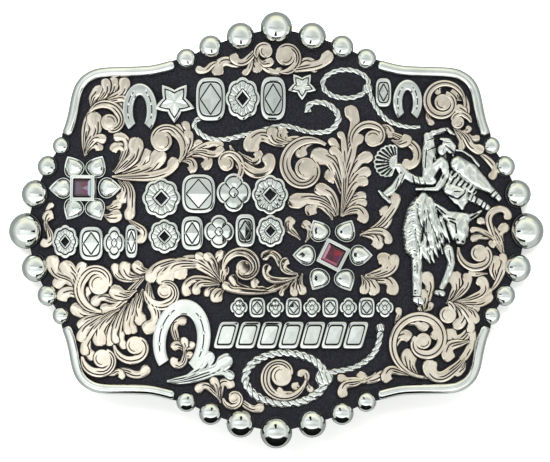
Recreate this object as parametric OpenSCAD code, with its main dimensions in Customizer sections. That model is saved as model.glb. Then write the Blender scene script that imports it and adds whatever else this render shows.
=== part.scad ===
// Western dress buckle: a bowed blackened plate with pierced copper scrollwork,
// silver ornament, bead border, two garnet flowers and a cast rodeo figure.
// X runs to the viewer's right, Y up the face, Z out of the face. Lengths in mm.

/* [Plate] */
// Radius of the bow, measured on the plate's upper face
bow_radius = 115; // [100:1:140]
// Thickness of the plate
plate_thickness = 1.6; // [1.2:0.1:2]
// Height of the plate's underside at mid width above the table
arch_height = 12.2; // [12:0.1:14]
// Clear gap between soldered-on pieces and the plate
seat_gap = 0.03; // [0.02:0.01:0.05]

/* [Border] */
// Width of the half-round corner wires
wire_width = 2; // [1.6:0.1:2.2]
// Height of the half-round corner wires
wire_height = 1.25; // [1:0.05:1.5]
// Share of a bead's radius by which the half-balls rise
bead_rise = 0.96; // [0.8:0.02:1]

/* [Overlay] */
// Thickness of the copper scrollwork
scroll_height = 0.8; // [0.6:0.05:1]
// Thickness of the silver ornament
silver_height = 1; // [0.8:0.05:1.2]
// Steps along each leaf outline
leaf_steps = 14; // [10:1:20]
// Clear width between neighbouring overlay pieces
cut_gap = 0.1; // [0.08:0.02:0.2]

/* [Stones] */
// Side of the square garnets
stone_side = 3.7; // [3.4:0.1:3.8]
// Outer side of the square bezels
bezel_side = 4.9; // [4.7:0.1:5.2]
// Height of the bezel walls over the plate
bezel_height = 1.7; // [1.5:0.1:1.9]

/* [Belt fittings] */
// Wire diameter of the belt loop
loop_wire = 3; // [2.6:0.1:3.4]
// Clear width of the loop for the strap
loop_opening = 40; // [38:1:42]
// Distance of loop and stud from mid width
fitting_offset = 30; // [28:1:32]
// Diameter of the belt stud
stud_d = 4; // [3.6:0.1:4.4]

/* [Hidden] */
face_z = arch_height + plate_thickness;
axis_z = face_z - bow_radius;
plate_in = bow_radius - plate_thickness;

// Height of the plate's upper face at x
function face_at(x) = axis_z + sqrt(bow_radius * bow_radius - x * x);
// Lean of the plate's normal at x, in degrees about Y
function lean_at(x) = asin(x / bow_radius);

// Tables: beads of one quadrant of the border, x, y, diameter
SIDE_BEADS = [[41, 16.2, 3.45], [43.6, 12.3, 4.1], [46, 7.05, 5.4]];
SIDE_MID = [47.75, 0, 6.85];
TOP_BEADS = [[17.1, 32.6, 3.95], [12.5, 34.85, 4.45], [6.8, 36.8, 5.35]];
TOP_MID = [0, 38.5, 6.05];

// Centreline of one corner wire, x, y
WIRE_LINE = [[19.5, 31.45], [21.5, 30.9], [24, 30.4], [27, 30.25], [30, 30.2], [32.6, 30.1], [34.6, 29.75],
  [36.2, 28.9], [37.3, 27.7], [37.95, 26.2], [38.35, 24.5], [38.7, 22.6], [39.25, 20.4], [40, 18.35]];

// Leaves: root x, root y, tip x, tip y, turn over the first half, turn over the second, width
// Volutes: centre x, y, inner and outer spine radius, inner angle, sweep, inner and outer width,
// radius of the round end, growth
CREST_LEAVES = [
  [-3.7, 34, 1.2, 30, 50, 40, 1.1], [-3.4, 32.6, -0.5, 32.1, 45, 45, 1.4],
  [-3.4, 35.3, -8.7, 33.2, -30, -100, 1.4], [-4.9, 32.6, -11.7, 29.5, -60, 110, 1.9],
  [-10.3, 32, -15.4, 30.4, 50, -60, 1.1], [-4.5, 33.2, -6, 29.3, -15, 0, 0.9],
  [-4.3, 34, -3.8, 29.8, 0, 10, 1.5], [2.4, 30, 7.2, 30.1, 20, -150, 1.7],
  [1.4, 30.2, 10.9, 33.2, 0, 20, 1.8]];
CREST_VOLUTES = [
  [1.7, 33.1, 1.2, 3.2, 150, -260, 1.3, 1.1, 1.75, 1], [-2, 34, 0.9, 2, 45, 170, 0.9, 0.9, 1.2, 1]];
UPPER_LEFT_LEAVES = [
  [-36.5, 14.2, -35, 23, -10, -20, 1.4], [-35.2, 23, -33.9, 27.8, -20, 10, 1.7],
  [-34.4, 24.2, -32.2, 28.9, 25, 25, 1.4], [-34, 24.3, -30.3, 29, 17, 18, 1.5],
  [-33.8, 24.4, -28.4, 29, 20, 50, 1.7], [-33.4, 24.3, -27.4, 25, -5, -5, 1.3],
  [-32.6, 24.2, -28.6, 22.9, -30, -30, 1.2], [-36.4, 14.8, -34.3, 22.6, -10, 30, 2.3],
  [-36.3, 14.8, -32.4, 17.7, -30, -50, 1.4], [-36.2, 14.4, -33.4, 15.4, -40, -120, 1.5]];
UPPER_LEFT_VOLUTES = [[-31.9, 20.6, 1.2, 4.2, 266, 244, 1.2, 1.3, 1.5, 1]];
UPPER_MIDDLE_LEAVES = [
  [-31.2, 11.2, -31.6, 15.4, 40, 160, 1.5], [-31, 11.2, -31, 18.2, 30, 110, 1.4],
  [-30.8, 10.9, -25.9, 17.5, 15, 25, 2.3], [-30.5, 10.7, -23.9, 15.2, 25, 30, 1.8],
  [-30, 10.5, -21, 14.7, 20, 22, 2.4], [-31.3, 10.3, -18.6, 13.3, 8, 45, 1.7],
  [-17.9, 13.2, -17.1, 20.8, 5, 10, 1.2], [-17.7, 16.6, -18.9, 20.2, 10, 15, 0.8],
  [-17.6, 13.6, -16.4, 19, 0, 10, 1.4], [-17.5, 13.8, -14.3, 17.1, -10, -10, 1.2],
  [-17.8, 13.4, -10, 16.3, -15, -30, 1.1], [-16.8, 14.6, -9.8, 15.2, -40, 45, 1.3],
  [-17.8, 13.5, -13.6, 11.5, -50, -130, 1.6], [-18.4, 13, -16.3, 11, -50, -120, 1.5],
  [-8.8, 16.1, -1.4, 14.5, 35, 150, 1.9], [-7.2, 14.9, -3.5, 15.1, 30, 150, 1.4],
  [-7.4, 13.8, -6.7, 11.2, 0, 10, 1.1], [-7.3, 13.8, -4.2, 11, 0, 8, 0.9],
  [6, 17.3, 1, 16.6, 15, 10, 1.1], [3.4, 16.4, -5.6, 15.1, -30, 110, 2.6],
  [2.6, 16.6, -1.1, 19.5, -30, -70, 1.6], [3.9, 17, 1.4, 19.4, -30, -120, 1.9]];
UPPER_MIDDLE_VOLUTES = [
  [-21.8, 16.9, 1.25, 5.1, 200, -250, 1.4, 1.5, 1.9, 1.5],
  [-9.5, 12.6, 0.8, 3.9, 210, -290, 0.9, 1, 1.35, 1.2]];
CENTRE_LEAVES = [
  [10.6, 1.9, 6.2, 2.9, 50, 130, 1.9], [11.2, 2.6, 2.4, 6.3, 70, -15, 2.3],
  [11.6, 2.8, 7.7, 8.7, 25, 28, 1.9], [12.1, 2.8, 9.3, 10, 20, 140, 2.3],
  [12.6, 6, 7, 15.3, 25, 35, 2.6], [12.3, 2.6, 10.6, 15.9, 10, 40, 1.3],
  [7.9, 16.6, 4.4, 13.8, 30, 80, 1.9], [12.7, 9, 10.5, 17.6, 12, 13, 1.2],
  [12.9, 9, 12.3, 18.8, 8, 8, 1], [12.8, 7, 14.5, 23.8, -12, 20, 2],
  [13, 7, 14.9, 17.6, -5, -10, 1.3], [13, 6.5, 15.6, 18.4, -20, 5, 1.5],
  [13, 5.5, 17.9, 14.9, -15, -30, 1.8], [13, 5, 17.6, 11.9, -10, -25, 1.6],
  [12.9, 4, 17.3, 9.9, -15, -40, 1.5], [12.8, 3.4, 17, 7, -10, -30, 1.4],
  [12.6, 2.9, 17.3, 5.4, -20, -35, 1.1], [12.5, 2.6, 16.7, 1.4, -45, -110, 1.8],
  [4.6, -1.9, 2.7, 2.5, 10, -80, 1.5], [5.5, -2.3, 5.2, 1.7, 40, 60, 1.3]];
CENTRE_VOLUTES = [
  [5.6, 11.7, 1.5, 5.9, 30, -340, 1.7, 1.5, 2, 1.1], [18.4, 17.4, 1, 4.2, -60, 265, 0.9, 1.1, 1.5, 1]];
UPPER_RIGHT_LEAVES = [
  [19, 20, 22.4, 17.8, -10, -45, 1.3], [20.2, 18.8, 23.9, 12.3, -20, -160, 1.6],
  [22, 17.2, 25.6, 17.7, 30, 60, 1.7], [34.9, 27.3, 36.3, 21.6, -15, -20, 1],
  [35.6, 24.8, 33.1, 26.5, -10, -10, 1.4], [36.3, 21.4, 34.1, 23.6, 25, 45, 1.5],
  [28.7, 23.4, 29.5, 19.9, 10, 0, 0.9], [32, 27.7, 30.5, 25.9, 20, 40, 0.9],
  [35.4, 19, 37.2, 19.6, 20, 30, 0.9], [34.8, 19.3, 38.8, 17.3, -10, 30, 1],
  [33.7, 19.8, 35.8, 15.5, -5, -10, 1.1], [34.3, 19.4, 39.4, 14.8, -30, 35, 1.5],
  [38, 15, 41.2, 9.7, -25, -70, 1.2]];
UPPER_RIGHT_VOLUTES = [
  [31.7, 24.4, 1.7, 4.3, 70, -440, 1, 0.9, 1.5, 1], [34.6, 20.6, 0.9, 2.5, 160, -160, 0.9, 0.9, 1.15, 1]];
LEFT_LEAVES = [
  [-43.6, -1, -42.9, 5.4, -30, -20, 0.8], [-43.9, 1.2, -42.9, 3.6, -20, -60, 1.6],
  [-43.9, 1.5, -45, -2.5, -10, -120, 1.3], [-30.2, 9.8, -29.7, 5.2, -20, -70, 1.8],
  [-29.6, 9.8, -27.3, 2.1, -75, 35, 1.6], [-28.4, 2.4, -26.4, -2.3, 20, -130, 1.4],
  [-32.9, 4.4, -29.4, 4.9, 10, 12, 1.5], [-33.1, 3.2, -29.4, 2.6, 20, 30, 1.9]];
LOWER_LEFT_LEAVES = [
  [-10.6, -9.9, -19.6, -9, 35, 95, 2.7], [-14, -6.9, -22.9, -9.8, 30, 35, 2.9],
  [-18, -5.7, -24.9, -9.5, 20, 25, 1.8], [-24.4, -8.2, -33.5, -15.4, 12, -38, 1.5],
  [-10.9, -10.1, -17.3, -12.6, 25, 100, 1.5], [-10.8, -10.4, -15.7, -12.2, 10, 80, 1.3],
  [-10.9, -10.7, -13.5, -12.6, 10, 60, 1], [-9.6, -11.3, -12, -13.6, 15, 55, 1.9],
  [-24.3, -9.4, -24.9, -19.7, 35, -80, 2.1], [-25.4, -11.2, -26.3, -18.2, 5, 12, 1.9],
  [-26.4, -12, -27.6, -19.8, 10, 15, 1.4], [-27.2, -13, -28.5, -19.9, 10, 10, 1.2],
  [-28.3, -13.8, -30, -22, 12, 12, 0.9], [-28, -13.9, -29.3, -22.7, 15, 10, 1.2],
  [-28.6, -14.2, -30.8, -21.6, 15, 18, 1.1], [-29, -14.5, -32.1, -22.1, 20, 25, 1.5],
  [-29.8, -15, -34.3, -22, 25, 28, 2.1], [-30, -15.2, -36.9, -23.8, 30, 32, 1.3],
  [-35.4, -18.2, -35.4, -24.9, 20, 10, 1.5], [-31.6, -15.7, -38.1, -18.1, 0, 10, 1.3],
  [-32.5, -16, -38, -20.9, 5, 15, 1.6], [-31.5, -15.3, -39.4, -14.9, -10, -25, 1.8],
  [-37.6, -11.8, -43.5, -4.9, 60, -60, 2.1], [-37.6, -12, -40.2, -5.6, 0, 5, 2.2],
  [-37.2, -12.8, -42.6, -10.4, 30, 90, 1.9], [-36.9, -13.4, -41.6, -13, 20, 90, 2],
  [-37.6, -11, -37.2, -5.9, 0, -10, 1.5], [-35.2, -14.6, -36.2, -10.7, -20, -30, 1.3],
  [-28.9, -13.7, -35.4, -13.9, -10, 60, 1.5], [-26.6, -11.4, -31.9, -11.8, -20, -25, 2.1],
  [-25, -8.9, -31, -6.3, -30, -80, 1.3], [-25.2, -8.8, -29.2, -6, -30, -75, 1.8],
  [-23.8, -7.6, -27.5, -6.6, -10, -30, 1.7],
  [-31.9, -27.2, -24, -26.3, -50, 65, 1.5], [-32.6, -27.5, -29.4, -28.3, 40, -150, 1.1]];
LOWER_LEFT_VOLUTES = [
  [-33.8, -10.3, 1.4, 5.2, -10, 285, 1.8, 1.4, 1.9, 1], [-21.3, -11.6, 1.1, 3.7, 110, -290, 1.1, 1.5, 1.3, 1],
  [-26.9, -21.9, 1.2, 4, 60, -240, 1.2, 1.1, 1.65, 1], [-33.2, -24.4, 1.3, 3.8, 60, -245, 1.4, 1.3, 1.65, 1]];
MIDDLE_LEAVES = [
  [-9.9, -10.6, -10.1, -6.8, 0, -10, 1.4], [-11.2, -9.2, -15.2, -4.3, 10, 15, 1.2],
  [-11, -8.9, -13.2, -4.2, 0, 5, 1.3], [-10.7, -9, -10.4, -3.8, -20, -30, 1.4],
  [4.2, -8.6, -3.5, -11.7, -10, -15, 1.1], [0, -11.6, -10.4, -10.6, -8, -14, 1.2],
  [-2, -11.9, -9, -8.9, -15, -30, 1.3], [-1, -11.4, -4, -9.2, -20, -110, 1.2],
  [3.7, -9, -1.7, -6.5, -20, -120, 1.2], [3.4, -8.7, -2.9, -5.2, -60, 120, 1.3],
  [4.1, -8.3, 2, -5.4, -40, -110, 1.3], [3.9, -8.9, 3, -12.6, 5, 0, 1.1],
  [5, -8.3, 4.6, -12.4, 10, 10, 1.4], [3, -9.6, 0.6, -12.4, 5, 5, 0.7]];
MIDDLE_VOLUTES = [[-6.2, -7.2, 1.1, 3.9, 200, 345, 1, 1.4, 1.4, 1]];
BESIDE_FLOWER_LEAVES = [
  [15.9, -0.9, 20.8, 4.6, 10, 90, 1.9], [16.3, -0.4, 23.4, 6.8, 45, 10, 1.5],
  [16, -0.9, 21.7, -2.6, -30, -80, 1.2], [15.9, -1, 19.3, -3.5, -20, -110, 1.9]];
BELOW_FLOWER_LEAVES = [
  [16.9, -8.6, 19.6, -5.2, 20, 170, 2.5], [17.3, -8.9, 22.6, -4.6, 25, 75, 1.5],
  [16.7, -9, 22.6, -12.3, 10, -90, 1.9], [16.6, -8.9, 19.5, -12, 0, -15, 1.9],
  [16.2, -8.6, 17.1, -12.2, 0, -15, 1.4]];
RIGHT_LEAVES = [
  [32.3, -13.9, 41.2, -11.4, 5, 25, 1.3], [40.4, -12, 43.5, -4.3, 25, 22, 1.1],
  [43.3, -4.6, 44.6, 2.2, -15, -190, 1.2], [43.4, -5, 43.8, 1.5, 0, -50, 1.5],
  [43.3, -5.5, 38.4, 2.3, 35, 35, 1], [43, -4, 36.9, 0.3, 40, 30, 0.8],
  [42.7, -2.5, 37, -1.2, 60, -10, 1.1], [43.2, -5, 40.6, -2.7, 30, 110, 1.3],
  [40.3, -8.2, 36.6, -8.2, 0, 0, 0.9], [42.2, -10.6, 41.7, -4.7, 15, -25, 1.9],
  [35, -13.3, 38.7, -8.8, 30, 115, 1.7], [33.4, -13.5, 36.9, -8.2, 15, 25, 1.4],
  [32.6, -13.7, 34.4, -7.8, 10, 40, 2.2], [34.6, -13.6, 41.4, -12.5, 22, 25, 1.5]];
RIGHT_VOLUTES = [[38.7, -4.3, 1.4, 4.1, 40, -235, 1.1, 1, 1.55, 1]];
LOWER_RIGHT_LEAVES = [
  [22.7, -23, 25.7, -20.2, -30, -100, 1.9], [23.4, -18, 29.2, -18.2, -15, -30, 1.9],
  [26.7, -16.2, 30.3, -20.9, -30, -70, 1.4], [27.2, -27.9, 24.4, -22.7, -12, -18, 2.4],
  [36.2, -23.6, 28.7, -24.8, -30, -125, 2.3], [36.8, -21.2, 32.7, -24.9, 10, 100, 2],
  [37.2, -17.5, 32.7, -18.9, -45, -125, 2], [33.4, -13.9, 33.9, -18.6, -50, -90, 1.8],
  [33, -13.8, 37.4, -19.5, -50, -25, 1.2], [27, -28, 37.4, -18.6, 40, 55, 1.3],
  [35.4, -14, 38.8, -15.2, 0, 10, 1.2], [35.8, -14.4, 38.7, -17.4, -5, -5, 1.4],
  [36.2, -24.6, 34.4, -27.9, -10, 10, 1.3], [22.6, -18.2, 23.5, -14.7, -15, 20, 0.9],
  [25.2, -27.6, 20.9, -28.9, 10, 130, 1.7], [24.4, -27.2, 15.2, -27.8, 62, -62, 1.5],
  [18.9, -27.1, 11.6, -28.5, -62, 15, 1.2], [17, -28.4, 12.3, -31.8, -20, 90, 1.5],
  [28.4, -15.6, 29, -7.8, -10, 15, 1.8], [28.2, -15.5, 28.1, -11.2, -5, 10, 1.2],
  [28.3, -15.4, 29.9, -13.9, 20, 10, 0.8], [28.2, -15.6, 26.9, -14.8, -10, -10, 0.6]];
LOWER_RIGHT_VOLUTES = [
  [28, -21.1, 1.4, 6.9, 150, 480, 1.1, 1.2, 1.45, 1], [32.7, -16.1, 1.1, 2.2, 30, 60, 1.2, 1.2, 1.55, 1]];
HORSESHOE_LEAVES = [
  [-18, -22.6, -17.1, -17, -20, -110, 1.4], [-17.6, -23.4, -20, -22.2, 40, 80, 1.4],
  [-17.7, -23.4, -17.2, -20.4, 5, 0, 1.1], [-17.7, -23.6, -15.8, -21.2, 0, -8, 1.2],
  [-17.9, -24.6, -15.9, -23.4, 20, -30, 1.1], [-17.7, -22.4, -19.7, -24.3, -60, -160, 1.3]];
SWASH_LEAVES = [
  [5.6, -29.8, 4.2, -27.7, 20, 160, 1.1], [5.6, -29.9, 3.1, -29.2, -20, -70, 1.2],
  [5, -30.9, 0, -30.5, -12, -18, 0.9], [6, -28.9, 6.5, -30.9, 0, 10, 0.9]];
SWASH_VOLUTES = [[1, -27.8, 1.4, 4.7, 10, 340, 1.4, 1, 1.85, 0.8]];
LOWER_MIDDLE_LEAVES = [
  [-10.6, -32.9, -8.2, -29.8, -20, -150, 1.5], [-10.6, -32.7, -15.5, -30.4, 30, 80, 1.3],
  [-11.2, -31.4, -11.8, -27.9, 0, 5, 1.2], [-7.7, -31.2, -2.3, -34.1, 30, 30, 1.3]];
LOWER_MIDDLE_VOLUTES = [[-8.1, -32, 0.7, 2, 150, -330, 0.8, 0.9, 0.9, 1]];

// Silver ribbons: start x, y, end x, y, turn over the first half, over the second, start and end width
UPPER_RIBBONS = [
  [-13.2, 21.3, -15.9, 19.7, 60, 50, 0.9, 1.1], [-15.8, 19.9, -7.5, 17.7, 62, 30, 1.1, 1.1],
  [-7.7, 17.7, -0.2, 19.7, 8, 2, 1.1, 1.1], [-0.4, 19.65, 3.8, 19.3, -22, -14, 1.1, 1],
  [3.6, 19.4, 8.4, 18.6, 8, 30, 1, 1.1], [8.2, 18.55, 12, 21.6, 50, 50, 1.1, 1.3],
  [12, 21.4, 7.5, 24.3, 45, 40, 1.3, 1.1], [7.7, 24.3, 6, 22.4, 60, 70, 1.1, 1.4],
  [17.6, 26.8, 20.9, 21, 12, 22, 1.2, 1.1], [20.8, 21.1, 27.4, 19.7, 18, 26, 1.1, 0.7]];
LASSO_TAIL = [[9.4, -27.4, 15, -26.1, -15, 20, 1.4, 1.1], [14.8, -26.1, 19.8, -18.8, 40, 48, 1.1, 1.4]];
// Lasso rings: centre x, y, half width, half height, band width, knot x, y, radius
UPPER_RING = [13.2, 27.8, 4.4, 2.7, 1, 17.4, 26.9, 1];
LOWER_RING = [1.7, -28.2, 7.6, 4.8, 1.7, 9.1, -28.1, 1.7];
// Conchos and blocks: centre x, y, half width, half height, kind, angle
UPPER_MOTIFS = [
  [-19.4, 24.4, 3.9, 3.9, "star", 0], [-12.5, 24.9, 2.7, 4, "cushion", 0],
  [-6.4, 25, 3.2, 4, "concho", 0], [-0.6, 25, 2.3, 4, "cushion", 0], [4.9, 27.4, 2.7, 2.6, "star", 0],
  [20.4, 26.2, 1.4, 2.6, "cushion", 0]];
CONCHO_MOTIFS = [
  [-21.9, 6.1, 3.6, 3.8, "concho", 0], [-14.8, 6.9, 3.1, 3.6, "cushion", 0],
  [-8.1, 7.1, 3.2, 3.6, "quatrefoil", 0], [-1.2, 6.7, 3.4, 3.7, "concho", 0]];
MIDDLE_MOTIFS = [
  [-40.3, -2.1, 2.5, 3.1, "concho", 0], [-35.3, -2.5, 2.2, 3.1, "cushion", 0],
  [-30.9, -2.4, 2, 3, "quatrefoil", 0], [-27.6, -2.1, 1.1, 3, "cushion", 0],
  [-21.3, -1.2, 3, 3.2, "concho", 0], [-16, -0.6, 2, 3.1, "cushion", 0],
  [-10.9, -0.3, 2.8, 3.1, "quatrefoil", 0], [-5.9, -0.1, 1.8, 3, "cushion", 0], [-1.1, -0.2, 2.7, 3, "concho", 0]];
SMALL_MOTIFS = [for (i = [0:8]) [-7.1 + 3.47 * i, -14.75, i % 2 == 0 ? 1.6 : 1.45, 1.8,
  i % 2 == 0 ? "quatrefoil" : "cushion", 0]];
SLANT_MOTIFS = [for (i = [0:6]) [-9.5 + 4.1 * i, -20, 1.8, 2.45, "slant", 0]];
// Low strips under the rows, which join their pieces: start x, y, end x, y
UPPER_LINKS = [[-26, 26.8, -19, 24.6], [-20, 24.6, 0, 25], [-1, 25.2, 5, 27.2], [5, 26.8, 7.3, 24.3],
  [5, 27.4, 9, 27.8], [17.4, 26.9, 20.6, 26.2], [20.6, 26.2, 23.2, 25.6]];
CONCHO_LINKS = [[-21, 6.1, -2.1, 6.8]];
MIDDLE_LINKS = [[-40, -2.2, -27.5, -2.2], [-28, -2.2, -21, -1.2], [-21, -1.2, -12, -0.2], [-13, -0.2, -3, -0.2]];
SMALL_LINKS = [[-7, -14.75, 20.6, -14.75]];
SLANT_LINKS = [[-10, -20, 19.4, -20], [2.7, -22, 2.7, -24]];
// Leaves of silver under the heels of the large horseshoe
SHOE_LEAVES = [[-20.8, -28.7, -8.2, -24.9, 22, -4, 2.7], [-18.4, -28.3, -11.8, -23.6, 28, 10, 2.1],
  [-15, -27.5, -7.9, -27.6, -12, -12, 1.6]];

// Flowers: centre x, y, turn of the bezel, distance of the petals' middles
FLOWER_LEFT = [-36.5, 8.1, -1, 4.5];
FLOWER_CENTRE = [10.7, -4.8, -27, 5.2];
// Directions of the six hand-set petals
PETALS = [0, 61, 119, 180, 240, 297];
petal_length = 4.2;
petal_width = 4;

// Cast figure: x, y, radius at one end, x, y, radius at the other end, lift, kind
FIGURE = [
  [28, 5.2, 2.4, 27.6, -0.5, 3.1, 0.2], [27.9, -0.5, 3, 28.7, -3.6, 2.3, 0.1],
  [26.1, 1.5, 1.7, 26.7, -4.6, 1.2, 0.1], [30.1, 2.6, 1.7, 32, -2.7, 1, 0.2],
  [26.9, -4.4, 1.25, 26.7, -8.8, 0.9, 0.2], [26.7, -8.8, 0.9, 26.7, -12.6, 0.8, 0.1],
  [26.6, -13.1, 0.85, 27.3, -13.2, 0.8, 0.1], [32.6, -3.4, 1.1, 33, -6.6, 0.85, 0.2],
  [33, -6.6, 0.85, 31.6, -10.8, 0.75, 0.1], [31.2, -11.8, 0.8, 31.6, -11.6, 0.8, 0.1],
  [33.9, 3.3, 1.5, 35.6, -0.8, 1, 0.8], [33.6, 3.9, 0.75, 30.4, 4.7, 0.45, 0.9],
  [35.4, 3.4, 0.75, 38.9, 3.9, 0.4, 0.9], [33.4, 2, 0.7, 32.9, 0.5, 0.5, 0.4],
  [36.3, 2.5, 0.6, 38, 2.4, 0.4, 0.4], [31.8, 7, 1.7, 34.8, 6.9, 2, 0.1], [28.4, 5.4, 2, 31.9, 6.2, 1.9, 0],
  [30.7, 8.9, 1.8, 30.7, 12.8, 1.6, 0.5], [29.2, 10.2, 1.3, 29.1, 16.4, 1.2, 0.5],
  [29.1, 16.4, 1.2, 30.6, 18.6, 0.9, 0.4], [30.6, 18.6, 0.9, 33.2, 18.9, 0.75, 0.3],
  [31.6, 13.6, 0.8, 31.9, 15.3, 1.1, 0.7], [31.9, 17.2, 0.5, 33.5, 15.3, 0.5, 0.8],
  [32.3, 16.2, 0.9, 33, 16.8, 0.7, 0.7], [31.9, 11.6, 0.8, 30.6, 8.4, 0.65, 0.9],
  [30.3, 9.6, 1.1, 24.2, 10.3, 1, 0.5], [24.2, 10.3, 1, 22.4, 12.4, 1.2, 0.3],
  [23, 9.4, 0.9, 21.9, 6.8, 0.7, 0.3], [21.9, 6.6, 0.7, 20, 7.3, 0.5, 0.2],
  [22.2, 12.4, 1.2, 20.2, 14.6, 1.3, 0.1], [21.8, 11.9, 1, 19.5, 12.5, 0.8, 0.1],
  [34.4, 12.4, 1.5, 38.4, 10.3, 1.7, 0.6], [38.4, 10.3, 1.6, 42, 7.2, 0.85, 0.4],
  [33, 10.6, 0.9, 37.3, 7.4, 0.9, 0.2], [37.6, 6.7, 0.7, 40.2, 4.9, 0.55, 0.2],
  [32.4, 12.6, 1, 34.4, 12.3, 1.2, 0.5]];

// Running sum of a list of points
function sums(v) = [for (i = 0, s = [0, 0]; i <= len(v); s = i < len(v) ? s + v[i] : s, i = i + 1) s];
function heading(t, a, b) = t < 0.5 ? 2 * t * a : a + (2 * t - 1) * b;
function steps_along(a, b, n) =
  sums([for (i = [0:n - 1]) let (h = heading((i + 0.5) / n, a, b)) [cos(h), sin(h)]]);
// Spine that leaves the first point, turns by a and then b, and ends at the second point
function spine(p, q, a, b, n) =
  let (raw = steps_along(a, b, n), e = raw[n], d = q - p, k = norm(d) / norm(e),
    turn = atan2(d[1], d[0]) - atan2(e[1], e[0]))
  [for (i = [0:n]) let (r = raw[i])
    [p[0] + k * (r[0] * cos(turn) - r[1] * sin(turn)), p[1] + k * (r[0] * sin(turn) + r[1] * cos(turn)),
     turn + heading(i / n, a, b)]];
function spine_length(s) = norm([s[1][0] - s[0][0], s[1][1] - s[0][1]]) * (len(s) - 1);
// Least radius on the side towards which the spine turns
function inner_radius(t, a, b, length) = let (turn = t < 0.5 ? a : b)
  abs(turn) < 1 ? 1000 : length / 2 / (abs(turn) * PI / 180);
// Outline of a band: half widths h along a spine s
function band(s, h, a, b) =
  let (n = len(s) - 1, length = spine_length(s))
  concat(
    [for (i = [0:n]) let (k = heading((i + 0.5) / n, a, b) >= 0 && (i / n < 0.5 ? a : b) > 0
        ? min(h[i], 0.9 * inner_radius(i / n, a, b, length)) : h[i])
      [s[i][0] - k * sin(s[i][2]), s[i][1] + k * cos(s[i][2])]],
    [for (i = [n:-1:0]) let (k = (i / n < 0.5 ? a : b) < 0
        ? min(h[i], 0.9 * inner_radius(i / n, a, b, length)) : h[i])
      [s[i][0] + k * sin(s[i][2]), s[i][1] - k * cos(s[i][2])]]);
// Half width of a leaf at share t of its length: a narrow root, a full lobe and a round end
function leaf_half(t, w, length) =
  let (peak = 1 - 0.55 * w / length, u = min(t / peak, 1), v = max((t - peak) / (1 - peak), 0))
  w / 2 * (0.28 + 0.72 * u * u * (3 - 2 * u)) * sqrt(max(1 - v * v, 0.002));
function leaf_outline(r, n) =
  let (s = spine([r[0], r[1]], [r[2], r[3]], r[4], r[5], n), length = spine_length(s))
  band(s, [for (i = [0:n]) leaf_half(i / n, r[6], length)], r[4], r[5]);
function ribbon_outline(r, n) =
  let (s = spine([r[0], r[1]], [r[2], r[3]], r[4], r[5], n))
  band(s, [for (i = [0:n]) (r[6] + (r[7] - r[6]) * i / n) / 2], r[4], r[5]);
function volute_outline(v, n) =
  let (r = function (t) v[2] + (v[3] - v[2]) * pow(t, v[9]), w = function (t) (v[6] + (v[7] - v[6]) * t) / 2)
  concat(
    [for (i = [0:n]) let (t = i / n, a = v[4] + v[5] * t) [v[0], v[1]] + (r(t) + w(t)) * [cos(a), sin(a)]],
    [for (i = [n:-1:0]) let (t = i / n, a = v[4] + v[5] * t) [v[0], v[1]] + (r(t) - w(t)) * [cos(a), sin(a)]]);
// Outline round two circles, x, y, radius of each
function capsule(c, n) =
  let (d = atan2(c[4] - c[1], c[3] - c[0]), b = acos((c[2] - c[5]) / norm([c[3] - c[0], c[4] - c[1]])))
  concat(
    [for (i = [0:n / 2]) let (a = d + b + (360 - 2 * b) * i / (n / 2)) [c[0], c[1]] + c[2] * [cos(a), sin(a)]],
    [for (i = [0:n / 2]) let (a = d - b + 2 * b * i / (n / 2)) [c[3], c[4]] + c[5] * [cos(a), sin(a)]]);
// Radius of a motif's outer line in direction a, for half width 1
function motif_radius(kind, a) =
  kind == "star" ? let (u = abs(((a + 90 + 36 + 720) % 72) - 36) / 36) 0.56 / (0.56 + 0.44 * u) :
  kind == "lozenge" ? 1 / (abs(cos(a)) + abs(sin(a))) :
  kind == "concho" ? 0.9 + 0.1 * abs(cos(4 * a)) :
  kind == "quatrefoil" ? 0.78 + 0.22 * pow(abs(cos(2 * a)), 0.7) :
  kind == "cushion" ? pow(pow(abs(cos(a)), 3.4) + pow(abs(sin(a)), 3.4), -1 / 3.4) :
  pow(pow(abs(cos(a)), 7) + pow(abs(sin(a)), 7), -1 / 7);
function motif_outline(m, n, share) =
  [for (i = [0:n - 1]) let (a = 360 * i / n, k = share * motif_radius(m[4], a),
      x = k * m[2] * cos(a) + (m[4] == "slant" ? 0.28 * k * m[3] * sin(a) : 0), y = k * m[3] * sin(a))
    [m[0] + x * cos(m[5]) - y * sin(m[5]), m[1] + x * sin(m[5]) + y * cos(m[5])]];

// Bowed layer between two heights over the plate's upper face
module layer(low, high) {
  difference() {
    translate([0, 50, axis_z]) rotate([90, 0, 0]) cylinder(r = bow_radius + high, h = 100, $fn = 360);
    translate([0, 51, axis_z]) rotate([90, 0, 0]) cylinder(r = bow_radius + low, h = 102, $fn = 360);
  }
}
// Upright prism of a plan shape, cut to a bowed layer
module bowed(low, high) {
  intersection() {
    linear_extrude(height = 30) children();
    layer(low, high);
  }
}

// Plan of the border beads
BEAD_PLAN = concat(
  [for (s = [-1, 1], b = SIDE_BEADS, t = [-1, 1]) [s * b[0], t * b[1], b[2]]],
  [for (s = [-1, 1], b = TOP_BEADS, t = [-1, 1]) [t * b[0], s * b[1], b[2]]],
  [[SIDE_MID[0], 0, SIDE_MID[2]], [-SIDE_MID[0], 0, SIDE_MID[2]],
   [0, TOP_MID[1], TOP_MID[2]], [0, -TOP_MID[1], TOP_MID[2]]]);
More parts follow.
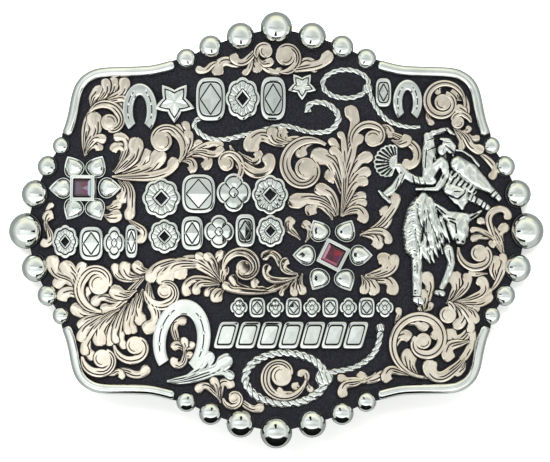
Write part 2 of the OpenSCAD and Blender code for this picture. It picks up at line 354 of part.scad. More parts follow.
// Outline of the plate over one quadrant, then mirrored
wire_out = [for (p = WIRE_LINE) let (k = wire_width / 2 - 0.1)
  p + k * [p[0] > 36 ? 0.97 : p[0] > 32 ? 0.6 : 0.08, p[0] > 36 ? 0.2 : p[0] > 32 ? 0.8 : 1]];
QUADRANT = concat(
  [[0, TOP_MID[1]]], [for (i = [2:-1:0]) [TOP_BEADS[i][0], TOP_BEADS[i][1] + 0.2]], wire_out,
  [for (i = [0:2]) [SIDE_BEADS[i][0] + 0.2, SIDE_BEADS[i][1]]], [[SIDE_MID[0], 0]]);
function flip(v, sx, sy) = [for (p = v) [sx * p[0], sy * p[1]]];
function backwards(v) = [for (i = [len(v) - 2:-1:1]) v[i]];
module plate_plan() {
  q = QUADRANT;
  polygon(concat(q, backwards(flip(q, 1, -1)), [flip(q, 1, -1)[0]], [for (i = [1:len(q) - 1]) flip(q, -1, -1)[i]],
    backwards(flip(q, -1, 1))));
  for (b = BEAD_PLAN) translate([b[0] * 0.997, b[1]]) circle(d = b[2] - 0.3, $fn = 40);
}

module base_plate() {
  color("dimgray") bowed(-plate_thickness, 0) offset(delta = 0.01) plate_plan();
}

// Half-round section carried along the wire's line over the bow
module corner_wire(sx, sy) {
  sides = 9;
  n = len(WIRE_LINE);
  ring = function (i) let (p = WIRE_LINE[i], a = WIRE_LINE[max(i - 1, 0)], b = WIRE_LINE[min(i + 1, n - 1)],
      d = (b - a) / norm(b - a), side = [d[1], -d[0]])
    [for (j = [0:sides - 1]) let (t = 180 * j / (sides - 1), u = p + side * wire_width / 2 * cos(t), x = u[0])
      [sx * x, sy * u[1], face_at(x) + seat_gap + wire_height * sin(t) + 0.05 * (j == 0 || j == sides - 1 ? 0 : 1)]];
  points = [for (i = [0:n - 1], p = ring(i)) p];
  skin = [for (i = [0:n - 2], j = [0:sides - 1]) let (k = (j + 1) % sides)
    [i * sides + j, i * sides + k, (i + 1) * sides + k, (i + 1) * sides + j]];
  ends = [[for (j = [sides - 1:-1:0]) j], [for (j = [0:sides - 1]) (n - 1) * sides + j]];
  faces = concat(skin, ends);
  color("silver") polyhedron(points = points,
    faces = sx * sy > 0 ? faces : [for (f = faces) [for (k = [len(f) - 1:-1:0]) f[k]]]);
}

// Half ball standing on the bow
module bead(x, y, d) {
  color("lightgray") translate([x, y, face_at(x)]) rotate([0, lean_at(x), 0]) translate([0, 0, seat_gap])
    intersection() {
      translate([0, 0, -(1 - bead_rise) * d / 2]) sphere(d = d, $fn = 48);
      translate([-d, -d, 0]) cube([2 * d, 2 * d, d]);
    }
}
module side_bead(s, i) {
  b = i == 4 ? SIDE_MID : SIDE_BEADS[i < 4 ? i - 1 : 7 - i];
  bead(s * b[0], (i < 4 ? 1 : -1) * b[1], b[2]);
}
module row_bead(s, i) {
  b = i == 4 ? TOP_MID : TOP_BEADS[i < 4 ? i - 1 : 7 - i];
  bead((i < 4 ? -1 : 1) * b[0], s * b[1], b[2]);
}

// Plan shapes of the overlay
module leaves_plan(leaves, volutes) {
  for (r = leaves) polygon(leaf_outline(r, leaf_steps));
  for (v = volutes) {
    polygon(volute_outline(v, ceil(abs(v[5]) / 14)));
    translate([v[0], v[1]]) circle(r = v[8], $fn = 24);
  }
}
module ribbons_plan(rows) {
  for (r = rows) polygon(ribbon_outline(r, leaf_steps));
}
// A row of motifs; conchos are pierced with a small lozenge
module motifs_plan(rows) {
  for (m = rows) difference() {
    polygon(motif_outline(m, 48, 1));
    if (m[4] == "concho") polygon(motif_outline([m[0], m[1], m[2], m[3], "lozenge", 0], 4, 0.3));
  }
}
// Horseshoe with open heels below and a row of nail holes in each branch
module horseshoe_plan(x, y, w, h, thick, turn) {
  translate([x, y]) rotate(turn) {
    difference() {
      scale([w / 2, h / 2]) circle(r = 1, $fn = 48);
      translate([0, -0.03 * h]) scale([w / 2 - thick, h / 2 - thick]) circle(r = 1, $fn = 48);
      polygon([[0, 0], [-0.3 * w, -0.7 * h], [0.3 * w, -0.7 * h]]);
      for (s = [-1, 1], a = [-12, 18, 48]) translate([s * (w / 2 - 0.5 * thick) * cos(a), (h / 2 - 0.5 * thick) * sin(a)])
        circle(r = 0.15 * thick, $fn = 12);
    }
  }
}
module lasso_plan(r, tail) {
  difference() {
    translate([r[0], r[1]]) scale([r[2] + r[4] / 2, r[3] + r[4] / 2]) circle(r = 1, $fn = 64);
    translate([r[0], r[1]]) scale([r[2] - r[4] / 2, r[3] - r[4] / 2]) circle(r = 1, $fn = 64);
  }
  translate([r[5], r[6]]) circle(r = r[7], $fn = 24);
  ribbons_plan(tail);
}
module upper_frieze_plan() {
  motifs_plan(UPPER_MOTIFS);
  lasso_plan(UPPER_RING, UPPER_RIBBONS);
  horseshoe_plan(-26, 23, 6.4, 9.8, 1.8, 0);
  horseshoe_plan(25, 24.5, 5.4, 8.2, 1.6, 0);
}
module links_plan(rows) {
  for (r = rows) polygon(capsule([r[0], r[1], 0.4, r[2], r[3], 0.4], 12));
}
module conchos_plan() { motifs_plan(CONCHO_MOTIFS); }
module middle_plan() { motifs_plan(MIDDLE_MOTIFS); }
module small_plan() { motifs_plan(SMALL_MOTIFS); }
module horseshoe_large_plan() {
  horseshoe_plan(-18, -20.7, 10.8, 15, 2.4, -8);
  leaves_plan(SHOE_LEAVES, []);
}
module slanted_plan() {
  motifs_plan(SLANT_MOTIFS);
  lasso_plan(LOWER_RING, LASSO_TAIL);
  translate([19.8, -18.6]) circle(r = 1, $fn = 24);
}
module flower_plan(f) {
  for (p = PETALS) translate(petal_at(f, p)) rotate(p) petal_outline(1.04);
  translate([f[0], f[1]]) rotate(f[2]) square(bezel_side, center = true);
}
module figure_plan() {
  for (c = FIGURE) polygon(capsule(c, 24));
}
// Everything in silver, which the copper leaves room for
module silver_plan() {
  upper_frieze_plan();
  conchos_plan();
  middle_plan();
  small_plan();
  horseshoe_large_plan();
  slanted_plan();
  flower_plan(FLOWER_LEFT);
  flower_plan(FLOWER_CENTRE);
  figure_plan();
  links_plan(concat(UPPER_LINKS, CONCHO_LINKS, MIDDLE_LINKS, SMALL_LINKS, SLANT_LINKS));
  for (b = BEAD_PLAN) translate([b[0], b[1]]) circle(d = b[2], $fn = 32);
  for (s = [-1, 1], t = [-1, 1]) scale([s, t]) wire_plan();
}
module wire_plan() {
  for (i = [0:len(WIRE_LINE) - 2]) let (p = WIRE_LINE[i], q = WIRE_LINE[i + 1])
    polygon(capsule([p[0], p[1], wire_width / 2, q[0], q[1], wire_width / 2], 16));
}
SPRAYS = [
  [CREST_LEAVES, CREST_VOLUTES], [UPPER_LEFT_LEAVES, UPPER_LEFT_VOLUTES],
  [UPPER_MIDDLE_LEAVES, UPPER_MIDDLE_VOLUTES], [CENTRE_LEAVES, CENTRE_VOLUTES],
  [UPPER_RIGHT_LEAVES, UPPER_RIGHT_VOLUTES], [LEFT_LEAVES, []], [LOWER_LEFT_LEAVES, LOWER_LEFT_VOLUTES],
  [MIDDLE_LEAVES, MIDDLE_VOLUTES], [concat(BESIDE_FLOWER_LEAVES, BELOW_FLOWER_LEAVES), []],
  [RIGHT_LEAVES, RIGHT_VOLUTES], [LOWER_RIGHT_LEAVES, LOWER_RIGHT_VOLUTES], [HORSESHOE_LEAVES, []],
  [SWASH_LEAVES, SWASH_VOLUTES], [LOWER_MIDDLE_LEAVES, LOWER_MIDDLE_VOLUTES]];
// One copper spray, clear of the silver and of the sprays listed before it
module spray(k) {
  color("peru") bowed(seat_gap, scroll_height) offset(delta = 0.005) difference() {
    leaves_plan(SPRAYS[k][0], SPRAYS[k][1]);
    offset(delta = cut_gap) silver_plan();
    if (k > 0) offset(delta = cut_gap) for (j = [0:k - 1]) leaves_plan(SPRAYS[j][0], SPRAYS[j][1]);
  }
}
// A row of silver pieces and the low strips that join them; the strips stop inside the pieces
module frieze(links, motifs) {
  color("gainsboro") union() {
    bowed(seat_gap, silver_height) offset(delta = 0.005) children();
    if (len(links) > 0) bowed(seat_gap, 0.3) offset(delta = 0.005) difference() {
      links_plan(links);
      for (m = motifs) polygon(motif_outline(m, 48, 0.8));
    }
  }
}

// Petals
function petal_at(f, p) = [f[0] + f[3] * cos(p), f[1] + f[3] * sin(p)];
// Outline radius of a petal in direction a: round inside, pointed outside
function petal_radius(a) = let (c = cos(a), s = sin(a))
  1 / pow(pow(abs(c) / (petal_length / 2), 2) + pow(abs(s) / (petal_width / 2), 2), 0.5)
  * (1 + 0.16 * pow(max(c, 0), 6));
module petal_outline(k) {
  polygon([for (i = [0:27]) let (a = 360 * i / 28) k * petal_radius(a) * [cos(a), sin(a)]]);
}
module petal_dome(x, y, turn) {
  rings = 4;
  m = 20;
  rise = 1.35;
  at = function (i, j) let (a = 360 * j / m, t = 90 * i / rings, k = petal_radius(a) * cos(t) * 0.97,
      u = x + k * cos(a + turn), v = y + k * sin(a + turn))
    [u, v, face_at(u) + 0.2 + rise * sin(t)];
  points = concat([for (i = [0:rings - 1], j = [0:m - 1]) at(i, j)], [[x, y, face_at(x) + 0.2 + rise]]);
  faces = concat([[for (j = [0:m - 1]) j]],
    [for (i = [0:rings - 2], j = [0:m - 1]) let (k = (j + 1) % m)
      [i * m + k, i * m + j, (i + 1) * m + j, (i + 1) * m + k]],
    [for (j = [0:m - 1]) [(rings - 1) * m + (j + 1) % m, (rings - 1) * m + j, rings * m]]);
  polyhedron(points = points, faces = faces);
}
module flower(f) {
  color("silver") union() {
    bowed(seat_gap, 0.4) offset(delta = 0.005) {
      flower_plan(f);
      translate([f[0], f[1]]) circle(d = bezel_side * 1.3, $fn = 32);
    }
    for (p = PETALS) let (q = petal_at(f, p)) petal_dome(q[0], q[1], p);
    translate([f[0], f[1], face_at(f[0])]) rotate([0, lean_at(f[0]), 0]) rotate(f[2]) difference() {
      translate([-bezel_side / 2, -bezel_side / 2, 0.2]) cube([bezel_side, bezel_side, bezel_height - 0.2]);
      translate([-stone_side / 2 - 0.05, -stone_side / 2 - 0.05, 0.55])
        cube([stone_side + 0.1, stone_side + 0.1, bezel_height]);
    }
  }
}
// Step-cut square stone: table, two rows of crown facets, girdle and pavilion
module garnet(f) {
  levels = [[0.25, 0.6], [0.98, 1.1], [1, 1.2], [1, 1.3], [0.86, 1.62], [0.66, 1.84]];
  corner = 0.86;
  at = function (k) let (s = k * stone_side / 2, c = s * corner)
    [[s, -c], [s, c], [c, s], [-c, s], [-s, c], [-s, -c], [-c, -s], [c, -s]];
  points = [for (l = levels, p = at(l[0])) [p[0], p[1], l[1]]];
  n = len(levels);
  faces = concat([[for (j = [0:7]) j]],
    [for (i = [0:n - 2], j = [0:7]) [i * 8 + (j + 1) % 8, i * 8 + j, (i + 1) * 8 + j, (i + 1) * 8 + (j + 1) % 8]],
    [[for (j = [7:-1:0]) (n - 1) * 8 + j]]);
  color("darkred") translate([f[0], f[1], face_at(f[0])]) rotate([0, lean_at(f[0]), 0]) rotate(f[2])
    polyhedron(points = points, faces = faces);
}

// Cast figure, flattened limbs blended over the plate
module limb(c) {
  hull() {
    translate([c[0], c[1], face_at(c[0]) + c[6]]) scale([1, 1, 0.78]) sphere(r = c[2], $fn = 14);
    translate([c[3], c[4], face_at(c[3]) + c[6]]) scale([1, 1, 0.78]) sphere(r = c[5], $fn = 14);
  }
}
module bull_rider() {
  color("silver") difference() {
    union() for (c = FIGURE) limb(c);
    translate([0, 50, axis_z]) rotate([90, 0, 0]) cylinder(r = bow_radius + seat_gap, h = 100, $fn = 360);
  }
}

// Wire loop behind the left side, which the strap is sewn round
module belt_loop() {
  reach = loop_opening / 2 + loop_wire / 2;
  bend = loop_wire;
  color("gray") intersection() {
    translate([-fitting_offset, 0, loop_wire / 2]) union() {
      rotate([90, 0, 0]) cylinder(d = loop_wire, h = 2 * (reach - bend), center = true, $fn = 32);
      for (s = [-1, 1]) {
        translate([0, s * reach, bend]) cylinder(d = loop_wire, h = 8, $fn = 32);
        translate([0, s * (reach - bend), bend]) rotate([0, 90, 0]) rotate([0, 0, s > 0 ? 0 : -90])
          rotate_extrude(angle = 90, $fn = 48) translate([bend, 0]) circle(d = loop_wire, $fn = 32);
      }
    }
    translate([0, 50, axis_z]) rotate([90, 0, 0]) cylinder(r = plate_in - seat_gap, h = 100, $fn = 180);
  }
}
// Stud behind the right side, for a hole in the strap's free end
module belt_stud() {
  color("gray") intersection() {
    translate([fitting_offset, 0, 0]) union() {
      translate([0, 0, stud_d / 2]) sphere(d = stud_d, $fn = 48);
      translate([0, 0, stud_d / 2]) cylinder(d = stud_d, h = 8, $fn = 48);
      translate([0, 0, 7]) cylinder(d = 9, h = 4, $fn = 48);
    }
    translate([0, 50, axis_z]) rotate([90, 0, 0]) cylinder(r = plate_in - seat_gap, h = 100, $fn = 180);
  }
}

base_plate();
corner_wire(-1, 1);  // wire_upper_left
corner_wire(1, 1);  // wire_upper_right
corner_wire(-1, -1);  // wire_lower_left
corner_wire(1, -1);  // wire_lower_right
row_bead(1, 1);  // bead_top_1
row_bead(1, 2);  // bead_top_2
row_bead(1, 3);  // bead_top_3
row_bead(1, 4);  // bead_top_4
row_bead(1, 5);  // bead_top_5
row_bead(1, 6);  // bead_top_6
row_bead(1, 7);  // bead_top_7
row_bead(-1, 1);  // bead_bottom_1
row_bead(-1, 2);  // bead_bottom_2
row_bead(-1, 3);  // bead_bottom_3
row_bead(-1, 4);  // bead_bottom_4
row_bead(-1, 5);  // bead_bottom_5
row_bead(-1, 6);  // bead_bottom_6
row_bead(-1, 7);  // bead_bottom_7
side_bead(-1, 1);  // bead_left_1
side_bead(-1, 2);  // bead_left_2
side_bead(-1, 3);  // bead_left_3
side_bead(-1, 4);  // bead_left_4
side_bead(-1, 5);  // bead_left_5
side_bead(-1, 6);  // bead_left_6
side_bead(-1, 7);  // bead_left_7
side_bead(1, 1);  // bead_right_1
side_bead(1, 2);  // bead_right_2
side_bead(1, 3);  // bead_right_3
side_bead(1, 4);  // bead_right_4
side_bead(1, 5);  // bead_right_5
side_bead(1, 6);  // bead_right_6
side_bead(1, 7);  // bead_right_7
spray(0);  // scroll_crest
spray(1);  // scroll_upper_left
spray(2);  // scroll_upper_middle
spray(3);  // scroll_centre
spray(4);  // scroll_upper_right
spray(5);  // scroll_left
spray(6);  // scroll_lower_left
spray(7);  // scroll_middle
spray(8);  // scroll_beside_flower
spray(9);  // scroll_right
spray(10);  // scroll_lower_right
spray(11);  // scroll_horseshoe
spray(12);  // scroll_swash
spray(13);  // scroll_lower_middle
frieze(UPPER_LINKS, UPPER_MOTIFS) upper_frieze_plan();  // frieze_upper
frieze(CONCHO_LINKS, CONCHO_MOTIFS) conchos_plan();  // frieze_conchos
frieze(MIDDLE_LINKS, MIDDLE_MOTIFS) middle_plan();  // frieze_middle
frieze(SMALL_LINKS, SMALL_MOTIFS) small_plan();  // frieze_small
frieze([], []) horseshoe_large_plan();  // horseshoe_large
frieze(SLANT_LINKS, SLANT_MOTIFS) slanted_plan();  // frieze_slanted
flower(FLOWER_LEFT);  // flower_left
flower(FLOWER_CENTRE);  // flower_centre
garnet(FLOWER_LEFT);  // garnet_left
garnet(FLOWER_CENTRE);  // garnet_centre
bull_rider();
belt_loop();
belt_stud();
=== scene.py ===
"""Western dress buckle: engraved copper scrollwork and silver ornament on a blackened, bowed plate."""
import math
import bpy
import numpy as np
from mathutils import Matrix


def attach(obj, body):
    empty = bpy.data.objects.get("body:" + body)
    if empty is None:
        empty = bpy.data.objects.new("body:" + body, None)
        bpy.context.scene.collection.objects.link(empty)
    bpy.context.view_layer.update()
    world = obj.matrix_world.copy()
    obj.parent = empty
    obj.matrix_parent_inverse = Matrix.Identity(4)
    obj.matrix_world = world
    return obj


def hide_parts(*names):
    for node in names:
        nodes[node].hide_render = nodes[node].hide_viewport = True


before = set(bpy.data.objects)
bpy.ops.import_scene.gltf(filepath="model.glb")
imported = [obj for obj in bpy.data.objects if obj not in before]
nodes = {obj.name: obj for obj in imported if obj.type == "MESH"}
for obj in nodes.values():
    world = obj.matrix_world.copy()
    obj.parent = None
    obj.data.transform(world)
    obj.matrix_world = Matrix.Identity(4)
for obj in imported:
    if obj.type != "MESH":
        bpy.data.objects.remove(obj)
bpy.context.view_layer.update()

MM = 0.001
BOW_RADIUS, FACE_Z = 115.0, 13.8
AXIS_Z = FACE_Z - BOW_RADIUS
SOLDER_GAP = 0.03

# Tables of the ornament, in mm and degrees

# Sprays of copper, each its leaves and its volutes
# Leaf: root x, y, tip x, y, turn over the first half, over the second, width
# Volute: centre x, y, inner and outer radius of the spine, inner angle, sweep, inner and outer width,
# radius of the round end, growth
SPRAYS = {
    "scroll_crest": (
        [[-3.7, 34, 1.2, 30, 50, 40, 1.1], [-3.4, 32.6, -0.5, 32.1, 45, 45, 1.4],
        [-3.4, 35.3, -8.7, 33.2, -30, -100, 1.4], [-4.9, 32.6, -11.7, 29.5, -60, 110, 1.9],
        [-10.3, 32, -15.4, 30.4, 50, -60, 1.1], [-4.5, 33.2, -6, 29.3, -15, 0, 0.9],
        [-4.3, 34, -3.8, 29.8, 0, 10, 1.5], [2.4, 30, 7.2, 30.1, 20, -150, 1.7],
        [1.4, 30.2, 10.9, 33.2, 0, 20, 1.8]],
        [[1.7, 33.1, 1.2, 3.2, 150, -260, 1.3, 1.1, 1.75, 1],
        [-2, 34, 0.9, 2, 45, 170, 0.9, 0.9, 1.2, 1]]),
    "scroll_upper_left": (
        [[-36.5, 14.2, -35, 23, -10, -20, 1.4], [-35.2, 23, -33.9, 27.8, -20, 10, 1.7],
        [-34.4, 24.2, -32.2, 28.9, 25, 25, 1.4], [-34, 24.3, -30.3, 29, 17, 18, 1.5],
        [-33.8, 24.4, -28.4, 29, 20, 50, 1.7], [-33.4, 24.3, -27.4, 25, -5, -5, 1.3],
        [-32.6, 24.2, -28.6, 22.9, -30, -30, 1.2], [-36.4, 14.8, -34.3, 22.6, -10, 30, 2.3],
        [-36.3, 14.8, -32.4, 17.7, -30, -50, 1.4], [-36.2, 14.4, -33.4, 15.4, -40, -120, 1.5]],
        [[-31.9, 20.6, 1.2, 4.2, 266, 244, 1.2, 1.3, 1.5, 1]]),
    "scroll_upper_middle": (
        [[-31.2, 11.2, -31.6, 15.4, 40, 160, 1.5], [-31, 11.2, -31, 18.2, 30, 110, 1.4],
        [-30.8, 10.9, -25.9, 17.5, 15, 25, 2.3], [-30.5, 10.7, -23.9, 15.2, 25, 30, 1.8],
        [-30, 10.5, -21, 14.7, 20, 22, 2.4], [-31.3, 10.3, -18.6, 13.3, 8, 45, 1.7],
        [-17.9, 13.2, -17.1, 20.8, 5, 10, 1.2], [-17.7, 16.6, -18.9, 20.2, 10, 15, 0.8],
        [-17.6, 13.6, -16.4, 19, 0, 10, 1.4], [-17.5, 13.8, -14.3, 17.1, -10, -10, 1.2],
        [-17.8, 13.4, -10, 16.3, -15, -30, 1.1], [-16.8, 14.6, -9.8, 15.2, -40, 45, 1.3],
        [-17.8, 13.5, -13.6, 11.5, -50, -130, 1.6], [-18.4, 13, -16.3, 11, -50, -120, 1.5],
        [-8.8, 16.1, -1.4, 14.5, 35, 150, 1.9], [-7.2, 14.9, -3.5, 15.1, 30, 150, 1.4],
        [-7.4, 13.8, -6.7, 11.2, 0, 10, 1.1], [-7.3, 13.8, -4.2, 11, 0, 8, 0.9],
        [6, 17.3, 1, 16.6, 15, 10, 1.1], [3.4, 16.4, -5.6, 15.1, -30, 110, 2.6],
        [2.6, 16.6, -1.1, 19.5, -30, -70, 1.6], [3.9, 17, 1.4, 19.4, -30, -120, 1.9]],
        [[-21.8, 16.9, 1.25, 5.1, 200, -250, 1.4, 1.5, 1.9, 1.5],
        [-9.5, 12.6, 0.8, 3.9, 210, -290, 0.9, 1, 1.35, 1.2]]),
    "scroll_centre": (
        [[10.6, 1.9, 6.2, 2.9, 50, 130, 1.9], [11.2, 2.6, 2.4, 6.3, 70, -15, 2.3],
        [11.6, 2.8, 7.7, 8.7, 25, 28, 1.9], [12.1, 2.8, 9.3, 10, 20, 140, 2.3],
        [12.6, 6, 7, 15.3, 25, 35, 2.6], [12.3, 2.6, 10.6, 15.9, 10, 40, 1.3],
        [7.9, 16.6, 4.4, 13.8, 30, 80, 1.9], [12.7, 9, 10.5, 17.6, 12, 13, 1.2],
        [12.9, 9, 12.3, 18.8, 8, 8, 1], [12.8, 7, 14.5, 23.8, -12, 20, 2],
        [13, 7, 14.9, 17.6, -5, -10, 1.3], [13, 6.5, 15.6, 18.4, -20, 5, 1.5],
        [13, 5.5, 17.9, 14.9, -15, -30, 1.8], [13, 5, 17.6, 11.9, -10, -25, 1.6],
        [12.9, 4, 17.3, 9.9, -15, -40, 1.5], [12.8, 3.4, 17, 7, -10, -30, 1.4],
        [12.6, 2.9, 17.3, 5.4, -20, -35, 1.1], [12.5, 2.6, 16.7, 1.4, -45, -110, 1.8],
        [4.6, -1.9, 2.7, 2.5, 10, -80, 1.5], [5.5, -2.3, 5.2, 1.7, 40, 60, 1.3]],
        [[5.6, 11.7, 1.5, 5.9, 30, -340, 1.7, 1.5, 2, 1.1],
        [18.4, 17.4, 1, 4.2, -60, 265, 0.9, 1.1, 1.5, 1]]),
    "scroll_upper_right": (
        [[19, 20, 22.4, 17.8, -10, -45, 1.3], [20.2, 18.8, 23.9, 12.3, -20, -160, 1.6],
        [22, 17.2, 25.6, 17.7, 30, 60, 1.7], [34.9, 27.3, 36.3, 21.6, -15, -20, 1],
        [35.6, 24.8, 33.1, 26.5, -10, -10, 1.4], [36.3, 21.4, 34.1, 23.6, 25, 45, 1.5],
        [28.7, 23.4, 29.5, 19.9, 10, 0, 0.9], [32, 27.7, 30.5, 25.9, 20, 40, 0.9],
        [35.4, 19, 37.2, 19.6, 20, 30, 0.9], [34.8, 19.3, 38.8, 17.3, -10, 30, 1],
        [33.7, 19.8, 35.8, 15.5, -5, -10, 1.1], [34.3, 19.4, 39.4, 14.8, -30, 35, 1.5],
        [38, 15, 41.2, 9.7, -25, -70, 1.2]],
        [[31.7, 24.4, 1.7, 4.3, 70, -440, 1, 0.9, 1.5, 1],
        [34.6, 20.6, 0.9, 2.5, 160, -160, 0.9, 0.9, 1.15, 1]]),
    "scroll_left": (
        [[-43.6, -1, -42.9, 5.4, -30, -20, 0.8], [-43.9, 1.2, -42.9, 3.6, -20, -60, 1.6],
        [-43.9, 1.5, -45, -2.5, -10, -120, 1.3], [-30.2, 9.8, -29.7, 5.2, -20, -70, 1.8],
        [-29.6, 9.8, -27.3, 2.1, -75, 35, 1.6], [-28.4, 2.4, -26.4, -2.3, 20, -130, 1.4],
        [-32.9, 4.4, -29.4, 4.9, 10, 12, 1.5], [-33.1, 3.2, -29.4, 2.6, 20, 30, 1.9]],
        []),
    "scroll_lower_left": (
        [[-10.6, -9.9, -19.6, -9, 35, 95, 2.7], [-14, -6.9, -22.9, -9.8, 30, 35, 2.9],
        [-18, -5.7, -24.9, -9.5, 20, 25, 1.8], [-24.4, -8.2, -33.5, -15.4, 12, -38, 1.5],
        [-10.9, -10.1, -17.3, -12.6, 25, 100, 1.5], [-10.8, -10.4, -15.7, -12.2, 10, 80, 1.3],
        [-10.9, -10.7, -13.5, -12.6, 10, 60, 1], [-9.6, -11.3, -12, -13.6, 15, 55, 1.9],
        [-24.3, -9.4, -24.9, -19.7, 35, -80, 2.1], [-25.4, -11.2, -26.3, -18.2, 5, 12, 1.9],
        [-26.4, -12, -27.6, -19.8, 10, 15, 1.4], [-27.2, -13, -28.5, -19.9, 10, 10, 1.2],
        [-28.3, -13.8, -30, -22, 12, 12, 0.9], [-28, -13.9, -29.3, -22.7, 15, 10, 1.2],
        [-28.6, -14.2, -30.8, -21.6, 15, 18, 1.1], [-29, -14.5, -32.1, -22.1, 20, 25, 1.5],
        [-29.8, -15, -34.3, -22, 25, 28, 2.1], [-30, -15.2, -36.9, -23.8, 30, 32, 1.3],
        [-35.4, -18.2, -35.4, -24.9, 20, 10, 1.5], [-31.6, -15.7, -38.1, -18.1, 0, 10, 1.3],
        [-32.5, -16, -38, -20.9, 5, 15, 1.6], [-31.5, -15.3, -39.4, -14.9, -10, -25, 1.8],
        [-37.6, -11.8, -43.5, -4.9, 60, -60, 2.1], [-37.6, -12, -40.2, -5.6, 0, 5, 2.2],
        [-37.2, -12.8, -42.6, -10.4, 30, 90, 1.9], [-36.9, -13.4, -41.6, -13, 20, 90, 2],
        [-37.6, -11, -37.2, -5.9, 0, -10, 1.5], [-35.2, -14.6, -36.2, -10.7, -20, -30, 1.3],
        [-28.9, -13.7, -35.4, -13.9, -10, 60, 1.5], [-26.6, -11.4, -31.9, -11.8, -20, -25, 2.1],
        [-25, -8.9, -31, -6.3, -30, -80, 1.3], [-25.2, -8.8, -29.2, -6, -30, -75, 1.8],
        [-23.8, -7.6, -27.5, -6.6, -10, -30, 1.7], [-31.9, -27.2, -24, -26.3, -50, 65, 1.5],
        [-32.6, -27.5, -29.4, -28.3, 40, -150, 1.1]],
        [[-33.8, -10.3, 1.4, 5.2, -10, 285, 1.8, 1.4, 1.9, 1],
        [-21.3, -11.6, 1.1, 3.7, 110, -290, 1.1, 1.5, 1.3, 1],
        [-26.9, -21.9, 1.2, 4, 60, -240, 1.2, 1.1, 1.65, 1],
        [-33.2, -24.4, 1.3, 3.8, 60, -245, 1.4, 1.3, 1.65, 1]]),
    "scroll_middle": (
        [[-9.9, -10.6, -10.1, -6.8, 0, -10, 1.4], [-11.2, -9.2, -15.2, -4.3, 10, 15, 1.2],
        [-11, -8.9, -13.2, -4.2, 0, 5, 1.3], [-10.7, -9, -10.4, -3.8, -20, -30, 1.4],
        [4.2, -8.6, -3.5, -11.7, -10, -15, 1.1], [0, -11.6, -10.4, -10.6, -8, -14, 1.2],
        [-2, -11.9, -9, -8.9, -15, -30, 1.3], [-1, -11.4, -4, -9.2, -20, -110, 1.2],
        [3.7, -9, -1.7, -6.5, -20, -120, 1.2], [3.4, -8.7, -2.9, -5.2, -60, 120, 1.3],
        [4.1, -8.3, 2, -5.4, -40, -110, 1.3], [3.9, -8.9, 3, -12.6, 5, 0, 1.1],
        [5, -8.3, 4.6, -12.4, 10, 10, 1.4], [3, -9.6, 0.6, -12.4, 5, 5, 0.7]],
        [[-6.2, -7.2, 1.1, 3.9, 200, 345, 1, 1.4, 1.4, 1]]),
    "scroll_beside_flower": (
        [[15.9, -0.9, 20.8, 4.6, 10, 90, 1.9], [16.3, -0.4, 23.4, 6.8, 45, 10, 1.5],
        [16, -0.9, 21.7, -2.6, -30, -80, 1.2], [15.9, -1, 19.3, -3.5, -20, -110, 1.9],
        [16.9, -8.6, 19.6, -5.2, 20, 170, 2.5], [17.3, -8.9, 22.6, -4.6, 25, 75, 1.5],
        [16.7, -9, 22.6, -12.3, 10, -90, 1.9], [16.6, -8.9, 19.5, -12, 0, -15, 1.9],
        [16.2, -8.6, 17.1, -12.2, 0, -15, 1.4]],
        []),
    "scroll_right": (
        [[32.3, -13.9, 41.2, -11.4, 5, 25, 1.3], [40.4, -12, 43.5, -4.3, 25, 22, 1.1],
        [43.3, -4.6, 44.6, 2.2, -15, -190, 1.2], [43.4, -5, 43.8, 1.5, 0, -50, 1.5],
        [43.3, -5.5, 38.4, 2.3, 35, 35, 1], [43, -4, 36.9, 0.3, 40, 30, 0.8],
        [42.7, -2.5, 37, -1.2, 60, -10, 1.1], [43.2, -5, 40.6, -2.7, 30, 110, 1.3],
        [40.3, -8.2, 36.6, -8.2, 0, 0, 0.9], [42.2, -10.6, 41.7, -4.7, 15, -25, 1.9],
        [35, -13.3, 38.7, -8.8, 30, 115, 1.7], [33.4, -13.5, 36.9, -8.2, 15, 25, 1.4],
        [32.6, -13.7, 34.4, -7.8, 10, 40, 2.2], [34.6, -13.6, 41.4, -12.5, 22, 25, 1.5]],
        [[38.7, -4.3, 1.4, 4.1, 40, -235, 1.1, 1, 1.55, 1]]),
    "scroll_lower_right": (
        [[22.7, -23, 25.7, -20.2, -30, -100, 1.9], [23.4, -18, 29.2, -18.2, -15, -30, 1.9],
        [26.7, -16.2, 30.3, -20.9, -30, -70, 1.4], [27.2, -27.9, 24.4, -22.7, -12, -18, 2.4],
        [36.2, -23.6, 28.7, -24.8, -30, -125, 2.3], [36.8, -21.2, 32.7, -24.9, 10, 100, 2],
        [37.2, -17.5, 32.7, -18.9, -45, -125, 2], [33.4, -13.9, 33.9, -18.6, -50, -90, 1.8],
        [33, -13.8, 37.4, -19.5, -50, -25, 1.2], [27, -28, 37.4, -18.6, 40, 55, 1.3],
        [35.4, -14, 38.8, -15.2, 0, 10, 1.2], [35.8, -14.4, 38.7, -17.4, -5, -5, 1.4],
        [36.2, -24.6, 34.4, -27.9, -10, 10, 1.3], [22.6, -18.2, 23.5, -14.7, -15, 20, 0.9],
        [25.2, -27.6, 20.9, -28.9, 10, 130, 1.7], [24.4, -27.2, 15.2, -27.8, 62, -62, 1.5],
        [18.9, -27.1, 11.6, -28.5, -62, 15, 1.2], [17, -28.4, 12.3, -31.8, -20, 90, 1.5],
        [28.4, -15.6, 29, -7.8, -10, 15, 1.8], [28.2, -15.5, 28.1, -11.2, -5, 10, 1.2],
        [28.3, -15.4, 29.9, -13.9, 20, 10, 0.8], [28.2, -15.6, 26.9, -14.8, -10, -10, 0.6]],
        [[28, -21.1, 1.4, 6.9, 150, 480, 1.1, 1.2, 1.45, 1],
        [32.7, -16.1, 1.1, 2.2, 30, 60, 1.2, 1.2, 1.55, 1]]),
    "scroll_horseshoe": (
        [[-18, -22.6, -17.1, -17, -20, -110, 1.4], [-17.6, -23.4, -20, -22.2, 40, 80, 1.4],
